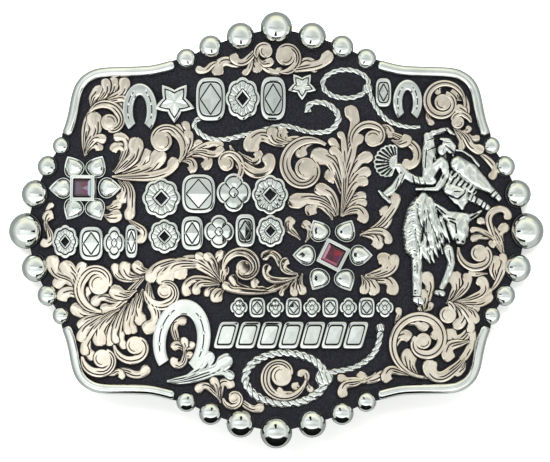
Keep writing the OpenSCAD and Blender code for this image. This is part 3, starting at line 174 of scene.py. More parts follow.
        [-17.7, -23.4, -17.2, -20.4, 5, 0, 1.1], [-17.7, -23.6, -15.8, -21.2, 0, -8, 1.2],
        [-17.9, -24.6, -15.9, -23.4, 20, -30, 1.1], [-17.7, -22.4, -19.7, -24.3, -60, -160, 1.3]],
        []),
    "scroll_swash": (
        [[5.6, -29.8, 4.2, -27.7, 20, 160, 1.1], [5.6, -29.9, 3.1, -29.2, -20, -70, 1.2],
        [5, -30.9, 0, -30.5, -12, -18, 0.9], [6, -28.9, 6.5, -30.9, 0, 10, 0.9]],
        [[1, -27.8, 1.4, 4.7, 10, 340, 1.4, 1, 1.85, 0.8]]),
    "scroll_lower_middle": (
        [[-10.6, -32.9, -8.2, -29.8, -20, -150, 1.5], [-10.6, -32.7, -15.5, -30.4, 30, 80, 1.3],
        [-11.2, -31.4, -11.8, -27.9, 0, 5, 1.2], [-7.7, -31.2, -2.3, -34.1, 30, 30, 1.3]],
        [[-8.1, -32, 0.7, 2, 150, -330, 0.8, 0.9, 0.9, 1]]),
}
# Ropes in stretches: start x, y, end x, y, turn over the first half, over the second, start and end width
UPPER_ROPES = [
    [[-13.2, 21.3, -15.9, 19.7, 60, 50, 0.9, 1.1], [-15.8, 19.9, -7.5, 17.7, 62, 30, 1.1, 1.1],
     [-7.7, 17.7, -0.2, 19.7, 8, 2, 1.1, 1.1], [-0.4, 19.65, 3.8, 19.3, -22, -14, 1.1, 1]],
    [[3.6, 19.4, 8.4, 18.6, 8, 30, 1, 1.1], [8.2, 18.55, 12, 21.6, 50, 50, 1.1, 1.3],
     [12, 21.4, 7.5, 24.3, 45, 40, 1.3, 1.1], [7.7, 24.3, 6, 22.4, 60, 70, 1.1, 1.4]],
    [[17.6, 26.8, 20.9, 21, 12, 22, 1.2, 1.1], [20.8, 21.1, 27.4, 19.7, 18, 26, 1.1, 0.7]]]
LASSO_TAIL = [[9.4, -27.4, 15, -26.1, -15, 20, 1.4, 1.1], [14.8, -26.1, 19.8, -18.8, 40, 48, 1.1, 1.4]]
# Lasso rings: centre x, y, half width, half height, rope width, knot x, y, radius; and the knot of the tail
UPPER_RING = [13.2, 27.8, 4.4, 2.7, 1, 17.4, 26.9, 1]
LOWER_RING = [1.7, -28.2, 7.6, 4.8, 1.7, 9.1, -28.1, 1.7]
TAIL_KNOT = [19.8, -18.6, 1]
# Ornament: centre x, y, half width, half height, kind
UPPER_MOTIFS = [[-19.4, 24.4, 3.9, 3.9, "star"], [-12.5, 24.9, 2.7, 4, "cushion"],
    [-6.4, 25, 3.2, 4, "concho"], [-0.6, 25, 2.3, 4, "cushion"], [4.9, 27.4, 2.7, 2.6, "star"],
    [20.4, 26.2, 1.4, 2.6, "cushion"]]
CONCHO_MOTIFS = [[-21.9, 6.1, 3.6, 3.8, "concho"], [-14.8, 6.9, 3.1, 3.6, "cushion"],
    [-8.1, 7.1, 3.2, 3.6, "quatrefoil"], [-1.2, 6.7, 3.4, 3.7, "concho"]]
MIDDLE_MOTIFS = [[-40.3, -2.1, 2.5, 3.1, "concho"], [-35.3, -2.5, 2.2, 3.1, "cushion"],
    [-30.9, -2.4, 2, 3, "quatrefoil"], [-27.6, -2.1, 1.1, 3, "cushion"], [-21.3, -1.2, 3, 3.2, "concho"],
    [-16, -0.6, 2, 3.1, "cushion"], [-10.9, -0.3, 2.8, 3.1, "quatrefoil"], [-5.9, -0.1, 1.8, 3, "cushion"],
    [-1.1, -0.2, 2.7, 3, "concho"]]
SMALL_MOTIFS = [[-7.1 + 3.47 * i, -14.75, 1.45 if i % 2 else 1.6, 1.8, "cushion" if i % 2 else "quatrefoil"]
    for i in range(9)]
SLANT_MOTIFS = [[-9.5 + 4.1 * i, -20, 1.8, 2.45, "slant"] for i in range(7)]
# Leaves of silver under the heels of the large horseshoe
SHOE_LEAVES = [[-20.8, -28.7, -8.2, -24.9, 22, -4, 2.7], [-18.4, -28.3, -11.8, -23.6, 28, 10, 2.1],
    [-15, -27.5, -7.9, -27.6, -12, -12, 1.6]]
# Horseshoes: centre x, y, width, height, band, turn
UPPER_SHOES = [[-26, 23, 6.4, 9.8, 1.8, 0], [25, 24.5, 5.4, 8.2, 1.6, 0]]
LARGE_SHOE = [-18, -20.7, 10.8, 15, 2.4, -8]
# Flowers: centre x, y, turn of the bezel, distance of the petals' middles; then the petals' directions
FLOWER_LEFT = [-36.5, 8.1, -1, 4.5]
FLOWER_CENTRE = [10.7, -4.8, -27, 5.2]
PETALS = [0, 61, 119, 180, 240, 297]
# Border beads of one quadrant, x, y, diameter, and the centreline of one corner wire
SIDE_BEADS = [[41, 16.2, 3.45], [43.6, 12.3, 4.1], [46, 7.05, 5.4], [47.75, 0, 6.85]]
TOP_BEADS = [[17.1, 32.6, 3.95], [12.5, 34.85, 4.45], [6.8, 36.8, 5.35], [0, 38.5, 6.05]]
WIRE_LINE = [[19.5, 31.45], [21.5, 30.9], [24, 30.4], [27, 30.25], [30, 30.2], [32.6, 30.1], [34.6, 29.75],
    [36.2, 28.9], [37.3, 27.7], [37.95, 26.2], [38.35, 24.5], [38.7, 22.6], [39.25, 20.4], [40, 18.35]]
# Joining strips: ends x, y
UPPER_LINKS = [[-26, 26.8, -19, 24.6], [-20, 24.6, 0, 25], [-1, 25.2, 5, 27.2], [5, 26.8, 7.3, 24.3],
    [5, 27.4, 9, 27.8], [17.4, 26.9, 20.6, 26.2], [20.6, 26.2, 23.2, 25.6]]
CONCHO_LINKS = [[-21, 6.1, -2.1, 6.8]]
MIDDLE_LINKS = [[-40, -2.2, -27.5, -2.2], [-28, -2.2, -21, -1.2], [-21, -1.2, -12, -0.2],
    [-13, -0.2, -3, -0.2]]
SMALL_LINKS = [[-7, -14.75, 20.6, -14.75]]
SLANT_LINKS = [[-10, -20, 19.4, -20], [2.7, -22, 2.7, -24]]
# Limbs of the cast figure, each a chain of knots: x, y, radius
LEGS = [[26.8, -5.11, 1.19, 26.8, -9.22, 1, 26.86, -12.38, 0.98],
    [26.91, -13.17, 1.03, 27.39, -13.67, 0.92],
    [32.77, -3.46, 1.08, 33.47, -6.07, 0.87, 32.66, -8.67, 0.79, 31.58, -10.87, 0.68],
    [30.78, -11.86, 0.73, 31.58, -12.02, 0.76]]
FAR_ARM = [
    [28.95, 9.76, 1.25, 29.17, 12.72, 1.46, 29.17, 15.46, 1.41, 29.11, 17.11, 1.14, 28.79, 17.88, 0.81],
    [28.79, 18.04, 0.76, 30.83, 18.87, 0.62, 32.66, 19.25, 0.49], [32.77, 19.03, 0.6, 33.25, 18.65, 0.51],
    [33.25, 18.59, 0.33, 34.06, 18.21, 0.16]]
KICKED_LEG = [
    [29.76, 9.43, 0.98, 27.61, 9.37, 0.87, 26, 9.76, 0.89, 24.28, 10.75, 0.92, 23.31, 12.06, 0.87],
    [24.06, 10.42, 0.87, 22.51, 8.28, 0.79, 21.7, 7.34, 0.84], [21.86, 7.51, 0.92, 20.63, 6.74, 0.65],
    [19.55, 7.4, 0.33, 20.57, 6.36, 0.49, 21.65, 5.37, 0.41]]
BODY = [[27.93, 6, 1.41, 26.8, 3.39, 2.06, 26, 0.1, 2.01, 26.05, -3.19, 1.79],
    [28.85, 5.31, 1.46, 29.49, 2.3, 1.79, 29.87, -0.17, 1.79, 28.95, -2.64, 1.73],
    [30.99, 2.02, 1.03, 32.98, -2.26, 0.19], [30.56, 0.38, 0.98, 32.18, -3.19, 0.19],
    [30.08, -0.99, 0.98, 31.64, -4.45, 0.19], [29.49, -1.82, 0.98, 30.78, -5.11, 0.19],
    [28.79, -2.64, 0.98, 30.03, -6.15, 0.22], [27.61, -3.19, 1.08, 29.33, -6.21, 0.27],
    [26.8, -3.19, 1.08, 27.39, -5.25, 0.49], [25.68, -3.19, 1.03, 26.16, -5.11, 0.54]]
BULL_HEAD = [[33.04, 2.68, 1.14, 36.53, 2.41, 0.92],
    [34.86, 1.42, 2.01, 35.13, -0.45, 1.57, 35.13, -1.98, 1.03],
    [30.19, 4.99, 0.33, 31.37, 4.11, 0.65, 32.66, 2.74, 0.98], [33.52, 1.31, 1.14, 34.38, -1.43, 0.92],
    [36.74, 2.35, 0.65, 37.92, 3.07, 0.54, 39.05, 3.72, 0.24]]
NEAR_THIGH = [[32.98, 7.78, 1.25, 34.32, 7.02, 1.68, 34.92, 6.58, 1.9],
    [35.4, 5.31, 1.25, 35.4, 4.22, 0.54]]
FRINGE = [[32.98, 10.64, 1.08, 35.13, 9.43, 1.19, 37.49, 7.62, 0.87],
    [32.01, 8.88, 1.14, 33.52, 8.47, 1.35]]
ROPE_HAND = [[30.67, 7.84, 0.46, 28.95, 7.84, 0.33, 26.7, 7.78, 0.27]]
LONG_CHAP = [
    [34.59, 12.72, 1.52, 36.74, 11.02, 1.9, 38.57, 9.43, 1.57, 40.39, 8.11, 0.92, 41.85, 6.69, 0.81],
    [41.9, 6.63, 0.79, 42.38, 6.19, 0.68]]
LOW_BOOT = [[37.17, 6.25, 0.81, 39.16, 5.21, 0.73, 40.18, 4.49, 0.7]]
LASH = [[33.73, 15.3, 0.22, 35.4, 15.19, 0.22, 37.17, 14.15, 0.24, 38.57, 12.39, 0.3]]
NEAR_ARM = [[31.53, 13, 1.03, 30.56, 12.39, 0.89, 29.92, 11.02, 0.65, 29.7, 10.03, 0.49],
    [31.91, 12.72, 0.92, 32.39, 10.75, 0.73, 31.42, 8.99, 0.7, 30.67, 7.95, 0.6]]
NECK = [[31.91, 14.48, 0.6, 31.69, 13.38, 0.81]]
HAT = [[32.01, 16.62, 0.49, 33.04, 16.12, 0.92, 33.25, 15.3, 0.76],
    [31.37, 17.38, 0.3, 32.77, 17.22, 0.49, 33.84, 15.96, 0.46, 33.68, 14.26, 0.24]]
# Cuts in the cast figure: start x, y, end x, y, width
LEG_CUTS = [[26.8, -6.07, 26.8, -8.13, 0.14], [25.84, -12.62, 27.88, -12.62, 0.16],
    [30.19, -11.14, 32.07, -11.42, 0.16], [27.02, -13.01, 27.02, -14.22, 0.14],
    [30.99, -11.75, 31.1, -12.57, 0.14], [32.98, -3.74, 33.3, -6.07, 0.14]]
ARM_CUTS = [[28.36, 11.9, 28.58, 15.46, 0.16], [29.54, 10.53, 30.08, 13.82, 0.19],
    [28.79, 15.19, 30.35, 15.85, 0.14], [28.74, 17.11, 29.92, 17.49, 0.14],
    [30.56, 18.43, 32.44, 18.87, 0.11], [32.28, 19.52, 32.77, 18.48, 0.14]]
KICK_CUTS = [[26, 10.36, 26.32, 8.77, 0.16], [27.07, 10.14, 27.39, 8.61, 0.16],
    [28.15, 10.09, 28.42, 8.61, 0.14], [24.39, 10.8, 23.63, 8.72, 0.14], [23.31, 9.87, 22.67, 7.95, 0.16],
    [20.2, 7.07, 21.43, 5.81, 0.14]]
BODY_CUTS = [[26.48, 0.6, 26.54, -1.27, 0.3], [26.54, -1.27, 26.96, -4.18, 0.27],
    [27.66, 0.1, 27.93, -2.64, 0.16], [28.63, 3.39, 28.47, 0.1, 0.16], [28.47, 0.1, 28.9, -4.83, 0.22],
    [29.76, 1.75, 29.33, -0.99, 0.19], [29.33, -0.99, 30.19, -5.38, 0.24],
    [30.19, 1.75, 30.35, -0.99, 0.19], [30.35, -0.99, 31.42, -4.23, 0.24],
    [30.83, 0.65, 32.01, -2.53, 0.22]]
SKULL_CUTS = [[33.14, 1.75, 34.11, 1.26, 0.3], [34.11, 1.26, 34.32, -0.45, 0.22],
    [32.71, 2.35, 34.06, 1.97, 0.16], [30.46, 4.55, 32.23, 3.07, 0.22], [37.12, 2.41, 38.46, 3.18, 0.22],
    [34.54, -1.76, 34.7, -1.93, 0.24], [35.45, -2.09, 35.67, -2.2, 0.22],
    [34.06, -2.64, 35.78, -2.86, 0.14]]
THIGH_CUTS = [[32.77, 6.69, 34.59, 5.97, 0.22], [34.59, 5.97, 35.94, 7.07, 0.22],
    [35.94, 7.07, 36.2, 8.28, 0.19], [33.95, 7.45, 35.13, 7.34, 0.14]]
FRINGE_CUTS = [[31.37, 8.06, 32.44, 9.32, 0.27], [32.44, 9.32, 32.87, 10.42, 0.22],
    [31.64, 7.45, 33.2, 8.72, 0.3], [33.2, 8.72, 33.95, 9.98, 0.24], [32.18, 7.02, 33.95, 8.17, 0.3],
    [33.95, 8.17, 34.75, 9.32, 0.24], [32.98, 6.8, 34.75, 7.78, 0.24], [34.75, 7.78, 35.56, 8.77, 0.22]]
BOOT_CUTS = [[40.66, 6.58, 41.79, 7.73, 0.22], [41.2, 5.97, 42.38, 7.13, 0.22],
    [38.94, 4.49, 39.59, 5.75, 0.22], [39.7, 4.16, 40.23, 5.37, 0.22], [37.92, 5.31, 38.46, 6.58, 0.19],
    [37.12, 5.7, 37.71, 6.96, 0.19]]
HAT_CUTS = [[32.23, 16.12, 33.79, 14.92, 0.16], [31.64, 16.84, 33.14, 16.67, 0.11]]
LADDER_CUTS = [[33.32, 11.77, 32.79, 11.08, 0.24], [34.01, 11.22, 33.49, 10.52, 0.24],
    [34.71, 10.66, 34.18, 9.97, 0.24], [35.41, 10.1, 34.88, 9.41, 0.24], [36.11, 9.55, 35.58, 8.85, 0.24],
    [36.81, 8.99, 36.28, 8.3, 0.24], [37.51, 8.43, 36.98, 7.74, 0.24], [38.2, 7.88, 37.68, 7.18, 0.24]]

# Surfaces


def on_bow(x, y, h):
    """Points seen from above at x, y and h over the bowed face: z = axis + sqrt((R + h)^2 - x^2), in mm"""
    return np.stack(np.broadcast_arrays(x, y, AXIS_Z + np.sqrt((BOW_RADIUS + h) ** 2 - x ** 2)), -1)


def plan(place, h):
    """The same for places x + iy, never nearer to the face than the film of solder"""
    return on_bow(place.real, place.imag, np.maximum(h, SOLDER_GAP))


def ramp(low, high, t):
    """Smooth step 3 u^2 - 2 u^3, from 0 at low to 1 at high"""
    u = np.clip((t - low) / (high - low), 0, 1)
    return u * u * (3 - 2 * u)


def compass(degrees):
    """Unit steps in those directions, as x + iy"""
    return np.exp(1j * np.radians(degrees))


def rings(shares, step):
    """Grid of the shares by the directions round a turn, in radians"""
    return np.meshgrid(shares, np.radians(np.arange(0, 360, step)), indexing="ij")


def along(path):
    """Length from the start of a plan path to each of its points"""
    return np.concatenate([[0], np.cumsum(np.abs(np.diff(path)))])


def new_piece(name, points, faces, material, **attributes):
    """Mesh object of points in mm. Each attribute is a number at every point, for a material to read."""
    mesh = bpy.data.meshes.new(name)
    mesh.from_pydata((np.asarray(points) * MM).tolist(), [], faces)
    for attribute, values in attributes.items():
        values = np.broadcast_to(values, len(mesh.vertices)).astype(np.float32)
        mesh.attributes.new(attribute, "FLOAT", "POINT").data.foreach_set("value", values)
    mesh.materials.append(material)
    piece = bpy.data.objects.new(name, mesh)
    bpy.context.collection.objects.link(piece)
    return piece


class Shell:
    """Grids of points gathered into one mesh, with a value at each point for patina and painted shade"""

    def __init__(self):
        self.points, self.faces, self.patina, self.count = [], [], [], 0

    def grid(self, points, patina, loop=False, low="cap", high="cap"):
        """Rows by columns of points. The last column joins the first; loop joins the rows as well. An end
        row is closed by a cap, or it is a pole, one point that all its columns share."""
        n, m = points.shape[:2]
        index = np.arange(n * m).reshape(n, m)
        if low == "pole":
            index[0] = 0
        if high == "pole":
            index[-1] = (n - 1) * m
        used, index = np.unique(index, return_inverse=True)
        index = index.reshape(n, m) + self.count
        after = np.roll(index, -1, 1)
        quads = np.stack([index, after, np.roll(after, -1, 0), np.roll(index, -1, 0)], -1)
        if not loop:
            quads = quads[:-1]
            if low == "pole":
                self.faces += quads[0][:, [0, 2, 3]].tolist()
                quads = quads[1:]
            else:
                self.faces.append(index[0, ::-1].tolist())
            if high == "pole":
                self.faces += quads[-1][:, [0, 1, 2]].tolist()
                quads = quads[:-1]
            else:
                self.faces.append(index[-1].tolist())
        self.faces += quads.reshape(-1, 4).tolist()
        self.points.append(points.reshape(-1, 3)[used])
        self.patina.append(np.broadcast_to(patina, (n, m)).reshape(-1)[used])
        self.count += len(used)

    def make(self, name, material, node, smooth=40):
        """One object of all the grids, in place of a solid. Edges sharper than the angle stay sharp."""
        patina = np.concatenate(self.patina)
        piece = new_piece(name, np.concatenate(self.points), self.faces, material, patina=patina)
        mesh = piece.data
        mesh.validate()
        mesh.polygons.foreach_set("use_smooth", np.ones(len(mesh.polygons), bool))
        if smooth < 180:
            mesh.set_sharp_from_angle(angle=math.radians(smooth))
        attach(piece, "root")
        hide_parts(node)


def spine(row, t):
    """Path from the root to the tip as x + iy, its heading, and its length. The heading turns evenly by one
    angle over the first half and by the other over the second, and the whole is turned and scaled to
    fit."""
    first, second = np.radians(row[4:6])
    turned = lambda s: np.where(s < 0.5, 2 * s * first, first + (2 * s - 1) * second)
    fine = np.linspace(0, 1, 401)
    steps = np.exp(1j * turned((fine[1:] + fine[:-1]) / 2)) / 400
    raw = np.concatenate([[0], np.cumsum(steps)])
    start, end = complex(*row[:2]), complex(*row[2:4])
    scale = (end - start) / raw[-1]
    return start + scale * np.interp(t, fine, raw), np.angle(scale) + turned(t), abs(scale)


def edges(row, t, half_left, half_right):
    """Left and right edge of a band of those half widths, pinched on the inside of a tight bend"""
    path, heading, length = spine(row, t)
    turn = np.radians(np.where(t < 0.5, row[4], row[5]))
    limit = 0.92 * length / 2 / np.maximum(np.abs(turn), 0.02)
    side = 1j * np.exp(1j * heading)
    left = np.where(turn > 0, np.minimum(half_left, limit), half_left)
    right = np.where(turn < 0, np.minimum(half_right, limit), half_right)
    return path + side * left, path - side * right


# Strips of cut metal: the skirt outside the edge, painted black as patina and shade, the bevel inside it,
# and the burin's cuts
SKIRT, BEVEL, CUT_HALF, CUT_DEPTH = 0.22, 0.15, 0.14, 0.1


def carve(shell, left, right, rim, top, crown, lines, bevel=BEVEL):
    """Cut metal strip between two plan curves. From the edge in: a skirt painted black as patina and painted
    shade, a rim darkened a little as painted shade, a bright bevel, then a crowned top, top + crown * 4 s (1
    - s), with cuts that are steep on one side and slope out on the other. The cuts are black with patina,
    and the slope beside each is darkened as painted shade. Each line is its share of the way across and its
    strength along it."""
    across = right - left
    width = np.abs(across)
    thick = np.maximum(width, 1e-4)
    near = np.clip(width / (0.42 * width.max()), 0, 1)
    cut = np.minimum(CUT_HALF, 0.12 * width)
    # Painted shade with patina at the edge: black at the foot and skirt, 0.4 at the rim
    edge = [(-SKIRT - 0.04, "foot", 1), (-SKIRT, "skirt", 1), (0, "rim", 0.4),
            (np.minimum(bevel, 0.18 * width), "top", 0)]
    columns = [(0, push, kind, dark) for push, kind, dark in edge]
    lean = 1 if sum(share for share, strength in lines) > 0.5 * len(lines) else -1
    for share, strength in lines:
        # Patina in the cut; the slope after it is darkened as painted shade
        groove = [(-1, "top", 0), (-0.45, "cut", strength), (0.45, "cut", strength),
                  (1, "slope", 0.42 * strength), (2.1, "top", 0)]
        columns += [(share, lean * push * cut, kind, dark) for push, kind, dark in groove[::lean]]
    columns += [(1, -push, kind, dark) for push, kind, dark in edge[::-1]]
    points, patina = [], []
    for share, push, kind, dark in columns:
        s = np.clip(share + push / thick, 0, 1)
        surface = rim + (top - rim + crown * 4 * s * (1 - s)) * near
        height = {"foot": 0, "skirt": rim - 0.02, "rim": rim, "top": surface,
                  "cut": surface - CUT_DEPTH * dark, "slope": surface - 0.8 * CUT_DEPTH * dark}[kind]
        points.append(plan(left + across * share + across / thick * push, height))
        patina.append(dark + 0 * width)
    shell.grid(np.stack(points, 1), np.stack(patina, 1))


# Cuts of a leaf by its width, narrow to wide: share of the way across, and how far towards the tip they run
LEAF_CUTS = [[(0.5, 0.7)], [(0.34, 0.6), (0.66, 0.82)], [(0.26, 0.5), (0.5, 0.7), (0.75, 0.86)]]
NARROW_LEAF, WIDE_LEAF = 1.5, 2.5


def leaf(shell, row, base, swell=1.2):
    """Acanthus leaf, a comma in plan. Both sides widen from the root by the smooth step. The outside of its
    bend keeps its half width to the tip; the inside stays slim, then swells into a lobe that hooks to its
    side. The end is round, sqrt(1 - v^1.6) outside and sqrt(1 - v^3) inside."""
    width = row[6] * swell
    length = spine(row, 0)[2]
    peak = 1 - min(0.55 * width / length, 0.6)
    body = peak * (1 - (1 - np.linspace(0, 1, max(12, int(length / 0.42)))) ** 1.35)
    tip = peak + (1 - peak) * np.sin(np.linspace(0, math.pi / 2, 8)[1:])
    t = np.concatenate([body, tip])
    v = np.clip((t - peak) / (1 - peak), 0, 1)
    to_tip = (1 - t) * length / width
    half = width / 2 * (0.3 + 0.7 * ramp(0, min(2 / length, 0.5), t))
    grown = 0.46 + 0.54 * ramp(0, 0.7, np.clip(t / peak, 0, 1))
    outer = grown * half * np.sqrt(np.maximum(1 - v ** 1.6, 0.0004))
    slim = grown * (0.66 - 0.22 * ramp(2.6, 1.5, to_tip))
    lobe = (1.1 - 0.44 * grown) * ramp(1.35, 0.8, to_tip)
    inner = (slim + lobe) * half * np.sqrt(np.maximum(1 - v ** 3, 0.0004))
    bends_left = row[4] + row[5] > 0
    left, right = edges(row, t, inner if bends_left else outer, outer if bends_left else inner)
    before_tip = (left - right)[-8]
    inward = before_tip / max(abs(before_tip), 1e-4) * (1 if bends_left else -1)
    hook = 0.15 * width * ramp(1.5, 0, to_tip) * inward
    lines = sorted([(share if bends_left else 1 - share, ramp(0, 0.08, t) * ramp(stop, stop - 0.15, t))
                    for share, stop in LEAF_CUTS[int(np.searchsorted([NARROW_LEAF, WIDE_LEAF], width))]],
                   key=lambda line: line[0])
    rise = base + 0.1 * ramp(0, 0.5, t)
    carve(shell, left + hook, right + hook, rise - 0.06, rise, 0.04 + 0.045 * width, lines)


def volute(shell, row, base):
    """Scroll on the spine r = r_in + (r_out - r_in) t^g about its centre, its inside swollen between the
    ends, with a round boss in the middle"""
    cx, cy, r_in, r_out, start, sweep, w_in, w_out, boss_radius, growth = row
    centre = complex(cx, cy)
    t = np.linspace(0, 1, max(14, int(abs(sweep) * (r_in + r_out) / 2 / 30)))
    outward = compass(start + sweep * t)
    r = r_in + (r_out - r_in) * t ** growth
    half = (w_in + (w_out - w_in) * t) / 2 * (0.35 + 0.65 * ramp(1, 0.86, t))
    swell = 1 + 0.9 * np.sin(math.pi * np.clip(t * 1.15, 0, 1))
    swell = np.minimum(swell, np.maximum((r - boss_radius - 0.35) / half, 1))
    outer, inner = centre + (r + half) * outward, centre + (r - half * swell) * outward
    strength = ramp(0.02, 0.12, t) * (1 - ramp(0.9, 1, t))
    lines = [(0.6, strength)]
    if half.max() > 0.6:
        lines = [(0.34, strength * ramp(0.8, 0.6, t)), (0.72, strength)]
    if sweep > 0:
        carve(shell, inner, outer, base - 0.06, base, 0.035, lines)
    else:
        lines = [(1 - share, strength) for share, strength in lines[::-1]]
        carve(shell, outer, inner, base - 0.06, base, 0.035, lines)
    boss(shell, centre, boss_radius, base, start)


def boss(shell, centre, radius, base, start):
    """Round end of a scroll: a low dome, with a short curl cut into it beside the neck. Its rings are
    shares of the radius at heights from the base."""
    share = [0, 1 + 0.22 / radius, 1 + 0.18 / radius, 1, 1 - 0.1 / radius,
             0.78, 0.73, 0.69, 0.64, 0.4, 0.2, 0]
    height = [-base, -base, -0.11, -0.06, 0, 0.02, 0.02, 0.02, 0.03, 0.05, 0.06, 0.06]
    s, a = rings(share, 10)
    cut = ((s > 0.68) & (s < 0.74)) * ramp(0.1, 0.9, np.cos(a - math.radians(start + 150)))
    # The wall is black and the rim darkened as painted shade with patina; the curl is black with patina
    dark = np.where(s > 1.02, 1.0, np.where(s > 0.97, 0.4, 0)) + cut
    dark[0] = 1
    h = base + np.array(height)[:, None] - CUT_DEPTH * cut
    place = centre + radius * s * np.exp(1j * a)
    shell.grid(plan(place, h), np.clip(dark, 0, 1), low="pole", high="pole")


def outline(kind, a):
    """Outline radius of an ornament in direction a, for half width 1"""
    if kind == "star":
        return 0.56 / (0.56 + 0.44 * np.abs((np.degrees(a) + 90 + 36 + 720) % 72 - 36) / 36)
    if kind == "lozenge":
        return 1 / (np.abs(np.cos(a)) + np.abs(np.sin(a)))
    if kind == "concho":
        return 0.9 + 0.1 * np.abs(np.cos(4 * a))
    if kind == "quatrefoil":
        return 0.78 + 0.22 * np.abs(np.cos(2 * a)) ** 0.7
    power = 3.4 if kind == "cushion" else 7
    return (np.abs(np.cos(a)) ** power + np.abs(np.sin(a)) ** power) ** (-1 / power)


def ornament(shell, row):
    """Silver ornament in polar rings, each a share of the outline, a height and a darkening: wall, bevel, a
    line cut inside the rim, and a middle after its kind. The wall is black as painted shade with patina, and
    the cuts are black with patina. A star has ridges, a cushion carries a raised lozenge, a concho is fluted
    round a pierced lozenge, and a quatrefoil has four petals."""
    cx, cy, half_width, half_height, kind = row
    size = min(half_width, half_height) * (0.5 if kind == "star" else 0.9)
    cut, flat, bevel = min(0.15 / size, 0.09), min(0.05 / size, 0.03), min(0.2 / size, 0.12)
    line = 1 - min(max(0.45 / size, 0.15), 0.26)
    inside = line - cut
    groove = 0.74 * inside
    rim = [(1 + 0.18 / size, 0, 1), (1 + 0.14 / size, 0.7, 1), (1, 0.82, 0.3), (1 - bevel, 0.93, 0),
           (line + cut, 0.94, 0), (line + flat, 0.84, 1), (line - flat, 0.84, 1), (inside, 0.94, 0)]
    middle = {
        "star": [(0.6 * inside, 0.98, 0), (0.3 * inside, 1.02, 0), (0, 1.04, 0)],
        "slant": [(0.6 * inside, 0.97, 0), (0.3 * inside, 1, 0), (0, 1, 0)],
        "quatrefoil": [(0.7 * inside, 0.99, 0), (0.34, 0.99, 0), (0.26, 0.88, 1), (0.2, 0.98, 0),
                       (0, 1.08, 0)],
        "cushion": [(groove + 0.9 * cut, 0.94, 0), (groove + flat, 0.84, 1), (groove - flat, 0.84, 1),
                    (groove - cut, 0.96, 0), (0.02, 1.06, 0), (0, 1.06, 0)],
        "concho": [(0.6, 1, 0), (0.52, 0.96, 0), (0.47, 0.84, 1), (0.42, 0.94, 0), (0.34, 0.9, 0.3),
                   (0.3, 0, 1)]}
    pierced = kind == "concho"
    profile = np.array([(0, 0, 1)] * (not pierced) + rim + middle[kind])
    s, t = rings(profile[:, 0], 3)
    height, patina = profile[:, 1:, None].transpose(1, 0, 2) + 0 * t
    radius = s * outline(kind, t)
    if kind in ("concho", "cushion"):
        lozenge = ramp(0.64, 0.42, s) if pierced else ramp(inside, groove + 0.9 * cut, s)
        radius = radius * (1 - lozenge) + lozenge * s * outline("lozenge", t) * (1 if pierced else 1.32)
    within = (s < inside + 0.001) & (height > 0.9)
    if kind == "star":
        height += within * 0.26 * np.cos(5 * (t - math.pi / 2)) * s / line
    if kind == "quatrefoil":
        lobe, petals = np.abs(np.cos(2 * t)), within & (s > 0.28)
        height += petals * 0.1 * (lobe - 0.6) * s / line
        patina = np.maximum(patina, petals * ramp(0.22, 0.08, lobe))
    if kind == "concho":
        flute, fluted = np.cos(16 * t), within & (s > 0.5)
        height += fluted * (0.05 * flute - 0.02)
        patina = np.maximum(patina, fluted * 0.75 * ramp(-0.8, -1, flute))
    x, y = radius * half_width * np.cos(t), radius * half_height * np.sin(t)
    if kind == "slant":
        x += 0.28 * y
    shell.grid(plan(complex(cx, cy) + x + 1j * y, height), patina, loop=pierced, low="pole", high="pole")


ROPE_STEP, ROPE_PITCH = 0.16, 1.5


def evenly(path, *others):
    """Path and what goes with it, at even steps along the path"""
    length = along(path)
    even = np.linspace(0, length[-1], int(length[-1] / ROPE_STEP))
    return [np.interp(even, length, values) for values in (path, *others)]


def rope_path(rows):
    """One smooth path through stretches that follow each other, with its half width"""
    t = np.linspace(0, 1, 16)
    path = np.concatenate([spine(row, t)[0] for row in rows])
    half = np.concatenate([(row[6] + (row[7] - row[6]) * t) / 2 for row in rows])
    keep = np.concatenate([[True], np.abs(np.diff(path)) > 0.02])
    path, half = path[keep], half[keep]
    for _ in range(12):
        for values in (path, half):
            values[1:-1] = (values[:-2] + 2 * values[1:-1] + values[2:]) / 4
    return evenly(path, half)


def ring_path(row):
    """Ellipse of a lasso, at even steps"""
    around = compass(np.linspace(0, 360, 721))
    return complex(*row[:2]) + evenly(row[2] * around.real + 1j * row[3] * around.imag)[0][:-1]


def leftward(tangent):
    """Unit steps to the left of a path"""
    return 1j * tangent / np.abs(tangent)


def at_foot(b):
    """1 where a half-round section of angle b meets the plate, else 0: the foot is black as painted shade
    with patina
    """
    return np.where((b < 0.2) | (b > 2.94), 1, 0)


def rope(shell, path, half, shut=False):
    """Twisted silver rope along a plan path: a half-round section whose radius swells by 0.09 cos(3 b - 2
    pi s / pitch), b the angle in the section and s the length, so that strands wind round it"""
    tangent = (np.roll(path, -1) - np.roll(path, 1)) / 2 if shut else np.gradient(path)
    s, b = np.meshgrid(along(path), np.linspace(0, math.pi, 13), indexing="ij")
    twist = np.cos(3 * b - 2 * math.pi * s / ROPE_PITCH)
    radius = (half + 0 * path.real)[:, None] * (1 + 0.09 * twist)
    place = path[:, None] + leftward(tangent)[:, None] * radius * np.cos(b)
    height = 0.13 + 0.82 * np.minimum(radius, 1.05) * np.sin(b)
    height[:, [0, -1]] = 0
    patina = 0.75 * ramp(-0.72, -0.98, twist) + at_foot(b)
    shell.grid(plan(place, height), np.clip(patina, 0, 1), loop=shut)


